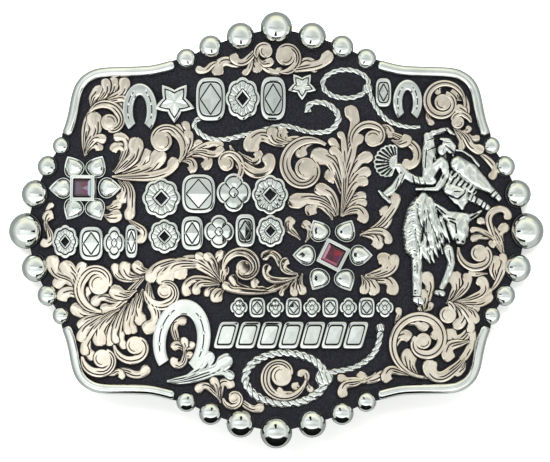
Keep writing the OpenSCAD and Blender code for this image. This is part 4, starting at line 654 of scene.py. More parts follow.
def knot(shell, x, y, radius):
    """Turned knot of a lasso: a dome (1 - s^2)^0.35 with slanting grooves, over a short wall"""
    s, a = rings([0, 1, *np.sin(np.linspace(math.pi / 2, 0, 12))], 7.5)
    place = radius * s * np.exp(1j * a)
    wave = np.cos(2 * math.pi * (place.real + 0.35 * place.imag) / (0.55 * radius))
    h = np.clip(1 - s * s, 0, 1) ** 0.35 * (1 + 0.07 * wave) + 0.04
    h[:3] = 0
    # Patina in the grooves; the wall is black as painted shade with patina
    patina = np.clip(0.7 * ramp(-0.6, -0.98, wave) + (s > 0.985), 0, 1)
    patina[0] = 1
    shell.grid(plan(complex(x, y) + place, h), patina, low="pole", high="pole")


def horseshoe(shell, row):
    """Shoe between two ellipses, open below, with a groove and three nails in each branch"""
    w, h, band = row[2:5]
    d = np.linspace(-49.4, 229.4, 90)

    def ellipse(direction, inset):
        """Places on the ellipse that lies so far inside the outer one, lowered by 3% of the height in
        all"""
        at, lowered = compass(direction), 0.03 * h * inset / band
        curve = (w / 2 - inset) * at.real + 1j * ((h / 2 - inset) * at.imag - lowered)
        return complex(*row[:2]) + curve * compass(row[5])

    groove = ramp(-32, -20, d) * ramp(66, 56, d) + ramp(114, 124, d) * ramp(212, 200, d)
    carve(shell, ellipse(d, band), ellipse(d, 0), 0.78, 0.93, 0.05, [(0.5, 0.8 * groove)], bevel=0.28)
    for direction in (-12, 18, 48, 132, 162, 192):
        nail(shell, ellipse(direction, band / 2), 0.15 * band)


def nail(shell, centre, radius):
    """Small round nail head: a dome over a short wall, as rings of a share of the radius and a height"""
    profile = np.array([[1.15, 0.75], [1, 1.02], [0.8, 1.1], [0.45, 1.15], [0, 1.17]])
    s, a = rings(profile[:, 0], 30)
    # The foot ring is black as painted shade with patina
    shell.grid(plan(centre + radius * s * np.exp(1j * a), profile[:, 1:]), s > 1.1, high="pole")


def leant(x, y, turn, local):
    """Points of a piece set on the bowed face at x, y, turned about its own axis, then leant by asin(x /
    R)"""
    across = (local[..., 0] + 1j * local[..., 1]) * compass(turn)
    lean = math.asin(x / BOW_RADIUS)
    c, s = math.cos(lean), math.sin(lean)
    u, v, w = across.real, across.imag, local[..., 2]
    return np.stack([x + c * u + s * w, y + v, AXIS_Z + BOW_RADIUS * c - s * u + c * w], -1)


def bead(shell, x, y, d):
    """Half ball soldered to the rim: rings r cos t at height r (sin t - 0.04), no lower than the solder. Its
    foot is darkened as painted shade and a painted reflection of the black plate.
    """
    t, a = rings(np.radians([0, 2.4, *np.linspace(4, 90, 15)]), 7.5)
    ring = d / 2 * np.cos(t)
    ring[0] = 0
    height = SOLDER_GAP + np.maximum(d / 2 * (np.sin(t) - 0.04), 0)
    local = np.stack([ring * np.cos(a), ring * np.sin(a), height], -1)
    # Painted shade and reflection of the plate: dark below 20 degrees up the ball, darkest at its foot
    shell.grid(leant(x, y, 0, local), 0.9 * ramp(20, 6, np.degrees(t)), low="pole", high="pole")


def corner_wire(shell, sx, sy):
    """Half-round wire, 2 mm wide, along a smooth curve through the points of its centreline, a cubic
    between each two. Its ends are rounded over."""
    knots = np.array(WIRE_LINE) @ [1, 1j]
    knots = np.concatenate([[2 * knots[0] - knots[1]], knots, [2 * knots[-1] - knots[-2]]])
    t = np.linspace(0, 1, 8, endpoint=False)[None, :, None] ** np.arange(4)
    spans = np.stack([knots[:-3], knots[1:-2], knots[2:-1], knots[3:]], 1)
    blend = 0.5 * np.array([[0, 2, 0, 0], [-1, 0, 1, 0], [2, -5, 4, -1], [-1, 3, -3, 1]])
    path = np.concatenate([(t @ blend @ spans[:, :, None]).ravel(), knots[-2:-1]])
    b = np.linspace(0, math.pi, 25)
    rounded = np.ones((len(path), 1))
    rounded[[0, -1]], rounded[[1, -2]] = 0.72, 0.93
    place = path[:, None] - leftward(np.gradient(path))[:, None] * rounded * np.cos(b)
    height = 0.12 + 1.13 * rounded * np.sin(b) ** 0.9
    height[:, [0, -1]] = 0
    place = sx * place.real + 1j * sy * place.imag
    if sx * sy > 0:
        place, height = place[:, ::-1], height[:, ::-1]
    shell.grid(plan(place, height), at_foot(b))


def petal(shell, x, y, turn):
    """Petal pointed outwards. Half width 2 (1 - |(u + 0.3) / 1.7|^2.2)^(1/2) behind its middle and 2 (1 -
    ((u + 0.3) / 2.75)^1.7) before it; a thin bright rim, a gap painted black as shade with patina that
    closes towards the point, and a dome 0.42 + 1.1 sqrt(1 - s^2) with faint hammer marks. The foot is black
    as painted shade with patina too."""
    behind = -2 + 1.7 * (1 - np.cos(np.linspace(0, math.pi / 2, 60)))
    u = np.concatenate([behind, np.linspace(-0.3, 2.45, 90)[1:]])
    w = 2 * np.where(u < -0.3, np.sqrt(np.clip(1 - np.abs((u + 0.3) / 1.7) ** 2.2, 0, 1)),
                     1 - np.clip((u + 0.3) / 2.75, 0, 1) ** 1.7)
    dome = np.cos(np.radians([6, 16, 28, 40, 53, 66, 78, 90]))
    s, a = np.meshgrid([0, 1.07, 1.02, 0.985, 0.93, 0.91, 0.86, *0.85 * dome],
                       np.radians(np.arange(-180, 180, 5)), indexing="ij")
    reach = s * np.interp(np.abs(a), np.arctan2(w, u)[::-1], np.hypot(u, w)[::-1])
    h = np.array([0, 0, 0.5, 0.66, 0.66, 0.35, 0.35, *0.42 + 1.1 * np.sqrt(1 - dome ** 2)])[:, None] + 0 * s
    # Painted shade with patina: black at the foot and in the gap, half dark on the outer rim and the dome's
    # foot
    dark = np.array([1, 1, 0.6, 0, 0, 1, 1, 0.5] + [0] * 7)[:, None] + 0 * s
    point = ramp(0.1, 0.72, np.cos(a))
    h += np.where((s > 0.855) & (s < 0.92), 0.3 * point, 0) + (s < 0.855) * 0.24 * point * (s / 0.85) ** 2
    dark = np.where((s > 0.84) & (s < 0.92), dark * (1 - point), dark)
    marks = np.sin(2.3 * reach * np.cos(a) + 1.1 * turn) * np.cos(2.9 * reach * np.sin(a))
    h += 0.07 * np.clip(1 - s / 0.8, 0, 1) * marks
    place = complex(x, y) + reach * np.exp(1j * a) * compass(turn)
    shell.grid(plan(place, h), dark, low="pole", high="pole")


def square_ring(half, corner=0.25):
    """Square of a half side with round corners, 10 points to a corner, as x + iy"""
    arc = (half - corner) * (1 + 1j) + corner * compass(np.linspace(0, 90, 10))
    return np.concatenate([arc, 1j * arc, -arc, -1j * arc])


def bezel(shell, x, y, turn):
    """Square setting, in levels of a half side, a height and a darkening: sloped foot, flat polished rim, a
    fine line, a lip burnished over the stone, and its seat. The foot, the inside of the lip and the seat are
    black as painted shade with patina, and stand for the shadow inside the setting."""
    levels = [(2.2, 0.03, 1), (2.56, 0.03, 1), (2.5, 0.5, 0.5), (2.48, 1.58, 0), (2.45, 1.68, 0),
              (2.4, 1.7, 0), (2.2, 1.7, 0), (2.15, 1.66, 0.6), (2.1, 1.68, 0), (1.87, 1.67, 0),
              (1.82, 1.63, 1), (1.8, 1.58, 1), (1.88, 1.55, 1), (1.88, 0.56, 1)]
    local = []
    for half, height, _ in levels:
        square = square_ring(half)
        local.append(np.stack([square.real, square.imag, height + 0 * square.real], -1))
    shell.grid(leant(x, y, turn, np.stack(local)), np.array(levels)[:, 2:])


GIRDLE_HALF, TABLE_SHARE, TABLE_HEIGHT = 1.85, 0.64, 1.84


def garnet(where, x, y, turn, material):
    """Step-cut square stone, in eight-sided levels from culet to table, each a share of the girdle at a
    height"""
    levels = np.array([[0.25, 0.6], [0.66, 0.86], [0.98, 1.1], [1, 1.2], [1, 1.3], [0.93, 1.5], [0.84, 1.68],
                       [TABLE_SHARE, TABLE_HEIGHT]])
    corner = np.array([1 - 0.86j, 1 + 0.86j])
    ring = GIRDLE_HALF * np.concatenate([corner, 1j * corner, -corner, -1j * corner])
    place = levels[:, :1] * ring
    shell = Shell()
    shell.grid(leant(x, y, turn, np.stack([place.real, place.imag, levels[:, 1:] + 0 * place.real], -1)), 0)
    shell.make(f"cut_garnet_{where}", material, f"garnet_{where}", smooth=0)


def link(shell, row):
    """Low strip that joins two ornaments of a row, 0.8 mm wide"""
    start, end = complex(*row[:2]), complex(*row[2:])
    step = end - start
    path = start + step * np.linspace(0, 1, max(2, int(abs(step) / 2)))
    place = path[:, None] + 1j * step / abs(step) * np.array([0.44, 0.38, -0.38, -0.44])
    shell.grid(plan(place, np.array([0, 0.28, 0.28, 0])), 0.92)


# Finishes


def linear(code):
    """sRGB hex to linear colour: ((c + 0.055) / 1.055)^2.4, or c / 12.92 near black"""
    c = np.array([int(code[i:i + 2], 16) for i in (1, 3, 5)]) / 255
    return (*np.where(c > 0.04045, ((c + 0.055) / 1.055) ** 2.4, c / 12.92).tolist(), 1.0)


def add(tree, kind, settings=None, **inputs):
    """One node, with its settings, and its inputs given as numbers, as another node, which stands for its
    first output, or as an output of one"""
    node = tree.nodes.new("ShaderNode" + kind)
    for key, value in (settings or {}).items():
        setattr(node, key, value)
    for key, value in inputs.items():
        socket = node.inputs[int(key[1:]) if key[1:].isdigit() else key.replace("_", " ")]
        if isinstance(value, bpy.types.Node):
            value = value.outputs[0]
        if isinstance(value, bpy.types.NodeSocket):
            tree.links.new(value, socket)
        else:
            socket.default_value = value
    return node


COLOUR, SMOOTH = {"data_type": "RGBA"}, {"interpolation_type": "SMOOTHSTEP"}


def empty_material(name):
    """Material without nodes, and its tree"""
    material = bpy.data.materials.new(name)
    material.use_nodes = True
    material.node_tree.nodes.clear()
    return material, material.node_tree


def metal(name, clean, warm, stain_and_shade, rough, worn_rough, grain_mm, grain_depth):
    """Worked metal: clean colour with slow tarnish clouds about 4 mm wide, blackening from the point
    attribute, patina in the cuts and painted shade at feet, walls and beside the cuts, and a fine tooled
    grain of that spacing and depth in mm"""
    material, tree = empty_material(name)
    place = add(tree, "TexCoord").outputs["Object"]
    cloud = add(tree, "TexNoise", Vector=place, Scale=250.0, Detail=4.0, Roughness=0.6)
    grain = add(tree, "TexNoise", Vector=place, Scale=1 / (grain_mm * MM), Detail=3.0, Roughness=0.7)
    worn = add(tree, "MapRange", Value=cloud, From_Min=0.35, From_Max=0.68)
    body = add(tree, "Mix", COLOUR, i0=worn, i6=linear(clean), i7=linear(warm))
    # Patina in the cuts and painted shade at feet and walls, one value at each point
    patina = add(tree, "Attribute", {"attribute_name": "patina"}).outputs["Fac"]
    ragged = add(tree, "Math", {"operation": "MULTIPLY_ADD"}, i0=grain, i1=0.14, i2=-0.07)
    edge = add(tree, "Math", {"operation": "ADD"}, i0=patina, i1=ragged)
    patina_and_shade_share = add(tree, "MapRange", SMOOTH, Value=edge, From_Min=0.2, From_Max=0.62)
    colour = add(tree, "Mix", COLOUR, i0=patina_and_shade_share, i6=body.outputs[2], i7=linear(stain_and_shade))
    shine = add(tree, "Math", {"operation": "MULTIPLY_ADD"}, i0=worn, i1=worn_rough - rough, i2=rough)
    roughness = add(tree, "Mix", i0=patina_and_shade_share, i2=shine, i3=0.6)
    metallic = add(tree, "MapRange", Value=patina_and_shade_share, To_Min=1.0, To_Max=0.45)
    bump = add(tree, "Bump", Strength=1.0, Distance=grain_depth * MM, Height=grain)
    shader = add(tree, "BsdfPrincipled", Base_Color=colour.outputs[2], Metallic=metallic,
                 Roughness=roughness, Normal=bump)
    add(tree, "OutputMaterial", Surface=shader)
    return material


# Cast and hand-finished silver: pale, slightly green-grey from age, black sulphide left in the cuts; the
# same black is painted shade at feet and walls
silver = metal("aged_polished_silver", "#f0f3f0", "#dae0db", "#0c0c10", 0.07, 0.15, 0.25, 0.002)
# The balls are polished closer than the cut pieces, so they mirror the tent sharply
ball_silver = metal("polished_ball_silver", "#eaeeeb", "#dde2de", "#0c0c10", 0.07, 0.12, 0.25, 0.001)
# Rose-gold washed copper, cut by a burin: warm, bright, with brown-black left in the lines; the same
# brown-black is painted shade beside the lines and at the edges
copper = metal("burin_cut_rose_copper", "#f4ebdd", "#e1d4c3", "#0f0a0b", 0.12, 0.2, 0.25, 0.003)
# Rolled nickel silver of the back, loop and stud: neutral, with a soft brushed grain
nickel = metal("brushed_nickel_silver", "#bdb9ae", "#aaa69b", "#302d2b", 0.32, 0.45, 0.35, 0.01)


def ground_metal():
    """Blackened ground, stippled by a fine matting punch: pits about 0.3 mm apart, black sulphide in them,
    and greyer metal on the high points between"""
    material, tree = empty_material("matted_blackened_nickel")
    place = add(tree, "TexCoord").outputs["Object"]
    pits = add(tree, "TexVoronoi", {"feature": "F1"}, Vector=place, Scale=3600.0, Randomness=1.0)
    cloud = add(tree, "TexNoise", Vector=place, Scale=300.0, Detail=3.0)
    fine = add(tree, "TexNoise", Vector=place, Scale=6000.0, Detail=2.0)
    rim = add(tree, "MapRange", Value=pits, From_Min=0.25, From_Max=0.75)
    spark = add(tree, "Math", {"operation": "MULTIPLY"}, i0=rim, i1=fine)
    shade = add(tree, "MapRange", Value=spark, From_Min=0.1, From_Max=0.6)
    dark = add(tree, "Mix", COLOUR, i0=cloud, i6=linear("#08080c"), i7=linear("#111116"))
    colour = add(tree, "Mix", COLOUR, i0=shade, i6=dark.outputs[2], i7=linear("#1f1f25"))
    bump = add(tree, "Bump", Strength=1.0, Distance=0.03 * MM, Height=pits)
    shader = add(tree, "BsdfPrincipled", Base_Color=colour.outputs[2], Metallic=0.0, Roughness=0.5,
                 Specular_IOR_Level=0.16, Normal=bump)
    add(tree, "OutputMaterial", Surface=shader)
    return material


def garnet_glass(name, flower, pavilion_painted_light, crown):
    """Garnet, IOR 1.77, polished, with its facet light painted. The lower facets seen through the table are
    eight sectors round the middle of the stone, each of one tone, painted for the light and shade those
    facets return, and the crown round the table has a tone for each of its four sides, painted as highlight
    and shade."""
    material, tree = empty_material(name)
    x, y, turn, _ = flower
    place = add(tree, "TexCoord").outputs["Object"]
    middle = (x * (1 + TABLE_HEIGHT / BOW_RADIUS) * MM, y * MM, 0)
    local = add(tree, "VectorMath", {"operation": "SUBTRACT"}, i0=place, i1=middle)
    painted_light_tints = []
    for painted_light_tones in (pavilion_painted_light, crown):
        angle = math.radians(180 / len(painted_light_tones) - turn)
        spun = add(tree, "VectorRotate", {"rotation_type": "Z_AXIS"}, Vector=local, Angle=angle)
        sector = add(tree, "TexGradient", {"gradient_type": "RADIAL"}, Vector=spun).outputs["Fac"]
        tint = add(tree, "ValToRGB", i0=sector)
        tint.color_ramp.interpolation = "CONSTANT"
        for k, painted_facet_light in enumerate(painted_light_tones):
            element = tint.color_ramp.elements[k] if k < 2 else tint.color_ramp.elements.new(k / len(painted_light_tones))
            element.position, element.color = k / len(painted_light_tones), linear(painted_facet_light)
        painted_light_tints.append(tint.outputs[0])
    # Turned by 45 degrees, the table's edge is where |x| + |y| is sqrt(2) of its half side
    x_axis, y_axis, _ = add(tree, "SeparateXYZ", Vector=spun).outputs
    x_reach = add(tree, "Math", {"operation": "ABSOLUTE"}, i0=x_axis)
    y_reach = add(tree, "Math", {"operation": "ABSOLUTE"}, i0=y_axis)
    reach = add(tree, "Math", {"operation": "ADD"}, i0=x_reach, i1=y_reach)
    table_edge = TABLE_SHARE * GIRDLE_HALF * math.sqrt(2) * MM
    beyond = add(tree, "Math", {"operation": "GREATER_THAN"}, i0=reach, i1=table_edge)
    painted_facet_light = add(tree, "Mix", COLOUR, i0=beyond, i6=painted_light_tints[0], i7=painted_light_tints[1])
    shader = add(tree, "BsdfPrincipled", Base_Color=painted_facet_light.outputs[2], Metallic=0.0, Roughness=0.04, IOR=1.77,
                 Specular_IOR_Level=0.3)
    add(tree, "OutputMaterial", Surface=shader)
    return material


ground = ground_metal()
# Painted facet highlights and shade; tones go round from the left against the clock
dark_garnet = garnet_glass(
    "polished_garnet_dark", FLOWER_LEFT,
    ["#453844", "#42343e", "#403239", "#4e2039", "#5c5662", "#46222a", "#3c2c34", "#43363f"],
    ["#2e2036", "#1c0c16", "#7c868e", "#1c0810"])
red_garnet = garnet_glass(
    "polished_garnet_crimson", FLOWER_CENTRE,
    ["#3a0d1a", "#320817", "#280410", "#3d0620", "#3e0030", "#5f0417", "#4a0a1a", "#300b12"],
    ["#7a5866", "#6a3045", "#3f262d", "#1a0509"])

# Pieces

for spray, (leaves, volutes) in SPRAYS.items():
    # Scrolls, then leaves, each a little above or below its neighbours
    shell = Shell()
    for k, row in enumerate(volutes):
        volute(shell, row, 0.84 + 0.03 * (k % 2))
    for k, row in enumerate(leaves):
        leaf(shell, row, 0.32 + 0.17 * (k % 3))
    shell.make("engraved_" + spray, copper, spray, smooth=20)


def silver_row(name, node, links=(), motifs=(), shoes=(), ring=None, ropes=(), leaves=(), end=None):
    """A row of silver: joining strips, ornaments, horseshoes, a lasso's ring, ropes and knots, and
    leaves"""
    shell = Shell()
    for row in links:
        link(shell, row)
    for row in motifs:
        ornament(shell, row)
    for row in shoes:
        horseshoe(shell, row)
    if ring:
        rope(shell, ring_path(ring), ring[4] / 2, shut=True)
        knot(shell, *ring[5:7], ring[7] + 0.1)
    for rows in ropes:
        rope(shell, *rope_path(rows))
    for row in leaves:
        leaf(shell, row, 0.72, swell=1.0)
    if end:
        knot(shell, *end)
    shell.make(name, silver, node, smooth=24)


silver_row("upper_row", "frieze_upper", UPPER_LINKS, UPPER_MOTIFS, UPPER_SHOES, UPPER_RING, UPPER_ROPES)
silver_row("concho_row", "frieze_conchos", CONCHO_LINKS, CONCHO_MOTIFS)
silver_row("middle_row", "frieze_middle", MIDDLE_LINKS, MIDDLE_MOTIFS)
silver_row("small_row", "frieze_small", SMALL_LINKS, SMALL_MOTIFS)
silver_row("large_shoe", "horseshoe_large", shoes=[LARGE_SHOE], leaves=SHOE_LEAVES)
silver_row("slanted_row_and_lasso", "frieze_slanted", SLANT_LINKS, SLANT_MOTIFS, ring=LOWER_RING,
           ropes=[LASSO_TAIL], end=TAIL_KNOT)

# The beads are numbered as the solids are, from the left and from the top
for i in range(1, 8):
    sign = np.sign(4 - i)
    x, y, d = TOP_BEADS[min(i, 8 - i) - 1]
    places = {"top": (-sign * x, y, d), "bottom": (-sign * x, -y, d)}
    x, y, d = SIDE_BEADS[min(i, 8 - i) - 1]
    places.update(left=(-x, sign * y, d), right=(x, sign * y, d))
    for side, place in places.items():
        shell = Shell()
        bead(shell, *place)
        shell.make(f"ball_{side}_{i}", ball_silver, f"bead_{side}_{i}", smooth=180)

for side, sx in (("left", -1), ("right", 1)):
    for level, sy in (("upper", 1), ("lower", -1)):
        shell = Shell()
        corner_wire(shell, sx, sy)
        shell.make(f"rim_wire_{level}_{side}", silver, f"wire_{level}_{side}")

flowers = (("left", FLOWER_LEFT, dark_garnet), ("centre", FLOWER_CENTRE, red_garnet))
for where, (x, y, turn, reach), stone in flowers:
    shell = Shell()
    for direction in PETALS:
        at = complex(x, y) + reach * compass(direction)
        petal(shell, at.real, at.imag, direction)
    bezel(shell, x, y, turn)
    shell.make(f"petals_and_bezel_{where}", silver, f"flower_{where}")
    garnet(where, x, y, turn, stone)

# The cast figure

CAST_STEP = 0.1
cast_x, cast_y = np.meshgrid(np.arange(18.0, 43.4, CAST_STEP), np.arange(-15.2, 20.8, CAST_STEP))


def to_line(ax, ay, bx, by):
    """Share along each line of the point nearest to a place of the grid, and its distance squared"""
    dx, dy = bx - ax, by - ay
    t = np.clip(((cast_x - ax) * dx + (cast_y - ay) * dy) / (dx ** 2 + dy ** 2), 0, 1)
    return t, (cast_x - ax - t * dx) ** 2 + (cast_y - ay - t * dy) ** 2


def limbs(chains, low, tall, wobble=0.0):
    """Height of round limbs from knot to knot: low + tall sqrt(r) (1 - (d / r)^2)^0.52, with d the distance
    from the limb's line and r its radius there, widened by the wobble; -1 where there is none"""
    chains = [np.reshape(chain, (-1, 3)) for chain in chains]
    ends = np.concatenate([np.hstack([knots[:-1], knots[1:]]) for knots in chains])
    ax, ay, ar, bx, by, br = ends.T[:, :, None, None]
    t, distance = to_line(ax, ay, bx, by)
    r = (ar + (br - ar) * t) * (1 + wobble)
    s = distance / r ** 2
    return np.where(s < 1, low + tall * np.sqrt(r) * np.clip(1 - s, 0, 1) ** 0.52, -1).max(0)


def nicks(rows):
    """Depth share of narrow cuts: the highest of exp(-(d / 0.6 w)^2) about each line"""
    ax, ay, bx, by, w = np.array(rows).T[:, :, None, None]
    return np.exp(-to_line(ax, ay, bx, by)[1] / (0.6 * w) ** 2).max(0)


def smear(field, times):
    """Soft average over neighbours, repeated"""
    for _ in range(times):
        field = (np.roll(field, 1, 0) + field + np.roll(field, -1, 0)) / 3
        field = (np.roll(field, 1, 1) + field + np.roll(field, -1, 1)) / 3
    return field


def fan_of_fringe():
    """Fringe of the kicked leg, spread as a fan about its root, its reach by direction in degrees. Eleven
    radial slits, 13.2 degrees apart, widen outwards; the second field is the depth share of the slits."""
    dx, dy = cast_x - 23.0, cast_y - 12.8
    reach, angle = np.hypot(dx, dy), np.degrees(np.arctan2(dy, dx)) % 360
    rim = np.interp(angle, [90, 108, 130, 150, 180, 200, 218, 238, 252],
                    [3.3, 3.7, 4.05, 4.3, 4.5, 4.35, 4.0, 3.2, 2.6])
    rim = rim * (1 + 0.02 * np.cos(np.radians(angle - 98) * 360 / 13.2))
    slot = np.abs((angle - 98 + 6.6) % 13.2 - 6.6)
    cut = np.exp(-(np.radians(slot) * reach / (0.05 + 0.055 * reach)) ** 4)
    cut = cut * ramp(1.2, 1.7, reach) * ramp(0.3, 0.5, rim - reach) * (angle > 96) * (angle < 240)
    height = 0.62 + 0.25 * ramp(3.5, 1.0, reach) - 0.42 * cut
    return np.where((angle > 88) & (angle < 250) & (reach < rim), height, -1), cut


def calm_face():
    """Plain face under the hat: an egg, with eyes, nose and mouth"""
    u, v = (cast_x - 31.62) / 0.95, (cast_y - 15.3) / 1.15
    egg = 1 - u ** 2 - v ** 2
    nose = 0.16 * np.exp(-(u / 0.17) ** 2 - ((v + 0.08) / 0.26) ** 2)
    eyes = -0.12 * np.exp(-((np.abs(u) - 0.38) / 0.17) ** 2 - ((v - 0.12) / 0.12) ** 2)
    mouth = -0.09 * np.exp(-(u / 0.3) ** 2 - ((v + 0.46) / 0.08) ** 2)
    return np.where(egg > 0, 0.8 + 0.75 * np.sqrt(np.clip(egg, 0, 1)) + nose + eyes + mouth, -1)


def relief(hammered):
    """Height over the face, the highest of the groups at each place, and the darkening of its cuts, with
    painted shade. Each group is a height, the depth share of its cuts, and their depth; its steep foot is
    darkened as a cut would be, as painted shade with patina."""
    x, y = cast_x, cast_y
    wool = 0.04 * np.sin(9 * y + 3 * np.sin(2.1 * x)) * (x < 27.5)
    curls = 0.07 * np.sin(10 * x + 2.5 * np.sin(6 * y)) * np.sin(8 * y + 2 * np.sin(7 * x))
    fleece = np.clip(ramp(26.6, 24.9, x + 0.1 * y) + 0.6 * ramp(4.2, 6.4, y), 0, 1)
    folds = np.abs(np.sin(1.61 * x + 0.45 * y + 0.4 * np.sin(0.7 * y) + 2.03)) ** 0.8 - 0.62
    folds = 0.34 * folds * ramp(25.6, 27.0, x) * ramp(5.5, 3.5, y)
    groups = [
        (limbs(LEGS, 0.35, 0.85), nicks(LEG_CUTS), 0.3),
        (limbs(FAR_ARM, 0.4, 0.85), nicks(ARM_CUTS), 0.25),
        (limbs(LASH, 0.35, 0.5), 0, 0),
        (*fan_of_fringe(), 0),
        (limbs(KICKED_LEG, 0.55, 0.85), nicks(KICK_CUTS), 0.25),
        (limbs(BODY, 0.5, 1.25, wool) + curls * fleece + folds,
         # Painted shade in the valleys of the folds, beside the patina of the body's cuts
         np.maximum(0.4 * nicks(BODY_CUTS), 0.42 * ramp(-0.07, -0.22, folds)), 0.35),
        (limbs(BULL_HEAD, 1.0, 0.95), nicks(SKULL_CUTS), 0.45),
        (limbs(FRINGE, 0.6, 0.5), nicks(FRINGE_CUTS + LADDER_CUTS), 0.5),
        (limbs(NEAR_THIGH, 0.75, 0.7), nicks(THIGH_CUTS), 0.4),
        (limbs(NECK, 0.5, 0.6), 0, 0),
        (limbs(LOW_BOOT, 0.5, 0.75), nicks(BOOT_CUTS), 0.3),
        (limbs(LONG_CHAP, 0.8, 0.85), nicks(BOOT_CUTS), 0.3),
        (limbs(ROPE_HAND, 1.1, 0.6), 0, 0),
        (limbs(NEAR_ARM, 1.0, 0.75), 0, 0),
        (calm_face(), 0, 0),
        (limbs(HAT, 1.0, 0.75), nicks(HAT_CUTS), 0.25)]
    height, stain_and_shade = np.full(x.shape, -1.0), np.zeros(x.shape)
    for shape, cut, depth in groups:
        foot = shape[shape > 0].min()
        rise = min(shape.max() - foot, 0.85)
        # Near its foot each group is darkened as painted shade, with patina, where it meets what lies below
        cut = np.maximum(cut, 0.75 * ramp(foot + 0.5 * rise, foot + 0.14 * rise, shape))
        shape = np.where(shape > 0, np.maximum(shape + hammered - depth * cut, 0.2), -1)
        front = shape > height
        height, stain_and_shade = np.where(front, shape, height), np.where(front, cut, stain_and_shade)
    return height, stain_and_shade


def covered(solid):
    """Squares of the grid that touch the figure. Where two meet in a corner alone, all four round it are
    taken, so that the wall has no pinched edge."""
    keep = solid[:-1, :-1] | solid[1:, :-1] | solid[:-1, 1:] | solid[1:, 1:]
    for _ in range(3):
        a, b, c, d = keep[:-1, :-1], keep[1:, 1:], keep[1:, :-1], keep[:-1, 1:]
        cross = (a & b & ~c & ~d) | (c & d & ~a & ~b)
        for part in (a, b, c, d):
            part |= cross
    return keep


def cast_figure():
    """The relief as a mesh with a wall round it and a flat back. Patina gathers in the cuts. Painted shade
    darkens where the surface lies below the average around it, with patina there too, the hollows of the
    hammer marks, a little of the left side, and the edge of the figure, with patina; the wall and back are
    black."""
    hammered = 0.17 * np.sin(1.9 * cast_x + 1.1 * np.sin(1.3 * cast_y))
    hammered = hammered * np.sin(1.5 * cast_y + 0.9 * np.sin(1.9 * cast_x))
    height, stain_and_shade = relief(hammered)
    solid = height > 0
    mask = solid.astype(float)
    near = smear(mask, 1)
    level = np.where(solid, height, 0)
    soft = np.where(solid, 0.55 * level + 0.45 * smear(level, 1) / np.maximum(near, 0.2), 0)
    # Painted shade: darker where the surface lies below the average around it, on the left side, and in the
    # hollows of the hammer marks
    cavity_shade = smear(soft, 6) - soft
    painted_shade_left = ramp(0.97, 0.5, smear(np.roll(mask, 5, 1), 6))
    painted_shade_dips = 0.4 * ramp(0.0, -0.13, hammered) * ramp(24.4, 26, cast_x) * ramp(-5.5, -3, cast_y)
    patina = np.clip(0.9 * stain_and_shade + ramp(0.03, 0.16, cavity_shade) + painted_shade_dips + 0.26 * painted_shade_left, 0, 1)
    # Painted shade with patina near the edge of the figure; off it, wall and back, black
    patina = np.where(solid, np.maximum(patina, ramp(0.9, 0.5, near) * 0.6), 1)
    keep = covered(solid)
    lift = cast_x.size
    number = np.arange(lift).reshape(cast_x.shape)
    top = np.stack([number[:-1, :-1], number[:-1, 1:], number[1:, 1:], number[1:, :-1]], -1)[keep]
    ring = np.pad(keep, 1)
    above, below, after, before = ring[1:, 1:-1], ring[:-1, 1:-1], ring[1:-1, 1:], ring[1:-1, :-1]
    wall = []
    for a, b, inside, outside in ((number[:, :-1], number[:, 1:], above, below),
                                  (number[:, 1:], number[:, :-1], below, above),
                                  (number[1:], number[:-1], after, before),
                                  (number[:-1], number[1:], before, after)):
        wall.append(np.stack([a + lift, b + lift, b, a], -1)[inside & ~outside])
    quads = np.concatenate([top, top[:, ::-1] + lift] + wall)
    used, quads = np.unique(quads, return_inverse=True)
    upper = on_bow(cast_x, cast_y, np.maximum(soft, SOLDER_GAP + 0.05)).reshape(-1, 3)
    under = on_bow(cast_x, cast_y, SOLDER_GAP).reshape(-1, 3)
    shell = Shell()
    shell.points.append(np.concatenate([upper, under])[used])
    shell.patina.append(np.concatenate([patina.reshape(-1), np.ones(lift)])[used])
    shell.faces = quads.reshape(-1, 4).tolist()
    shell.make("cast_bull_and_rider", silver, "bull_rider", smooth=70)


cast_figure()

# Solids that keep their own mesh get their finish here
for node, finishes in (("belt_loop", [nickel]), ("belt_stud", [nickel]), ("base_plate", [nickel, ground])):
    nodes[node].data.materials.clear()
    for finish in finishes:
        nodes[node].data.materials.append(finish)
# The plate is blackened where it faces up
plate = nodes["base_plate"].data
facing = np.zeros(3 * len(plate.polygons))
plate.polygons.foreach_get("normal", facing)
plate.polygons.foreach_set("material_index", (facing.reshape(-1, 3)[:, 2] > 0.5).astype(np.int32))

# Floor, light and camera

paper, tree = empty_material("matt_white_paper")
sheet = add(tree, "BsdfPrincipled", Base_Color=linear("#f2f2f2"), Roughness=0.9, Emission_Color=(1, 1, 1, 1),
            Emission_Strength=0.3)
add(tree, "OutputMaterial", Surface=sheet)
corners = [(-3000, -3000, -0.2), (3000, -3000, -0.2), (3000, 3000, -0.2), (-3000, 3000, -0.2)]
floor = new_piece("pale_floor", corners, [(0, 1, 2, 3)], paper)
floor.visible_glossy = False

world = bpy.data.worlds.new("studio_tent")
bpy.context.scene.world = world
world.use_nodes = True
sky = world.node_tree
sky.nodes.clear()
towards = add(sky, "TexCoord").outputs["Generated"]
x_axis, y_axis, z_axis = add(sky, "SeparateXYZ", Vector=towards).outputs


def graded(axis, low, high, first, second):
    """First colour below low on that axis, second above high, and a smooth blend between"""
    share = add(sky, "MapRange", SMOOTH, Value=axis, From_Min=low, From_Max=high)
    return add(sky, "Mix", COLOUR, i0=share, i6=first, i7=second).outputs[2]


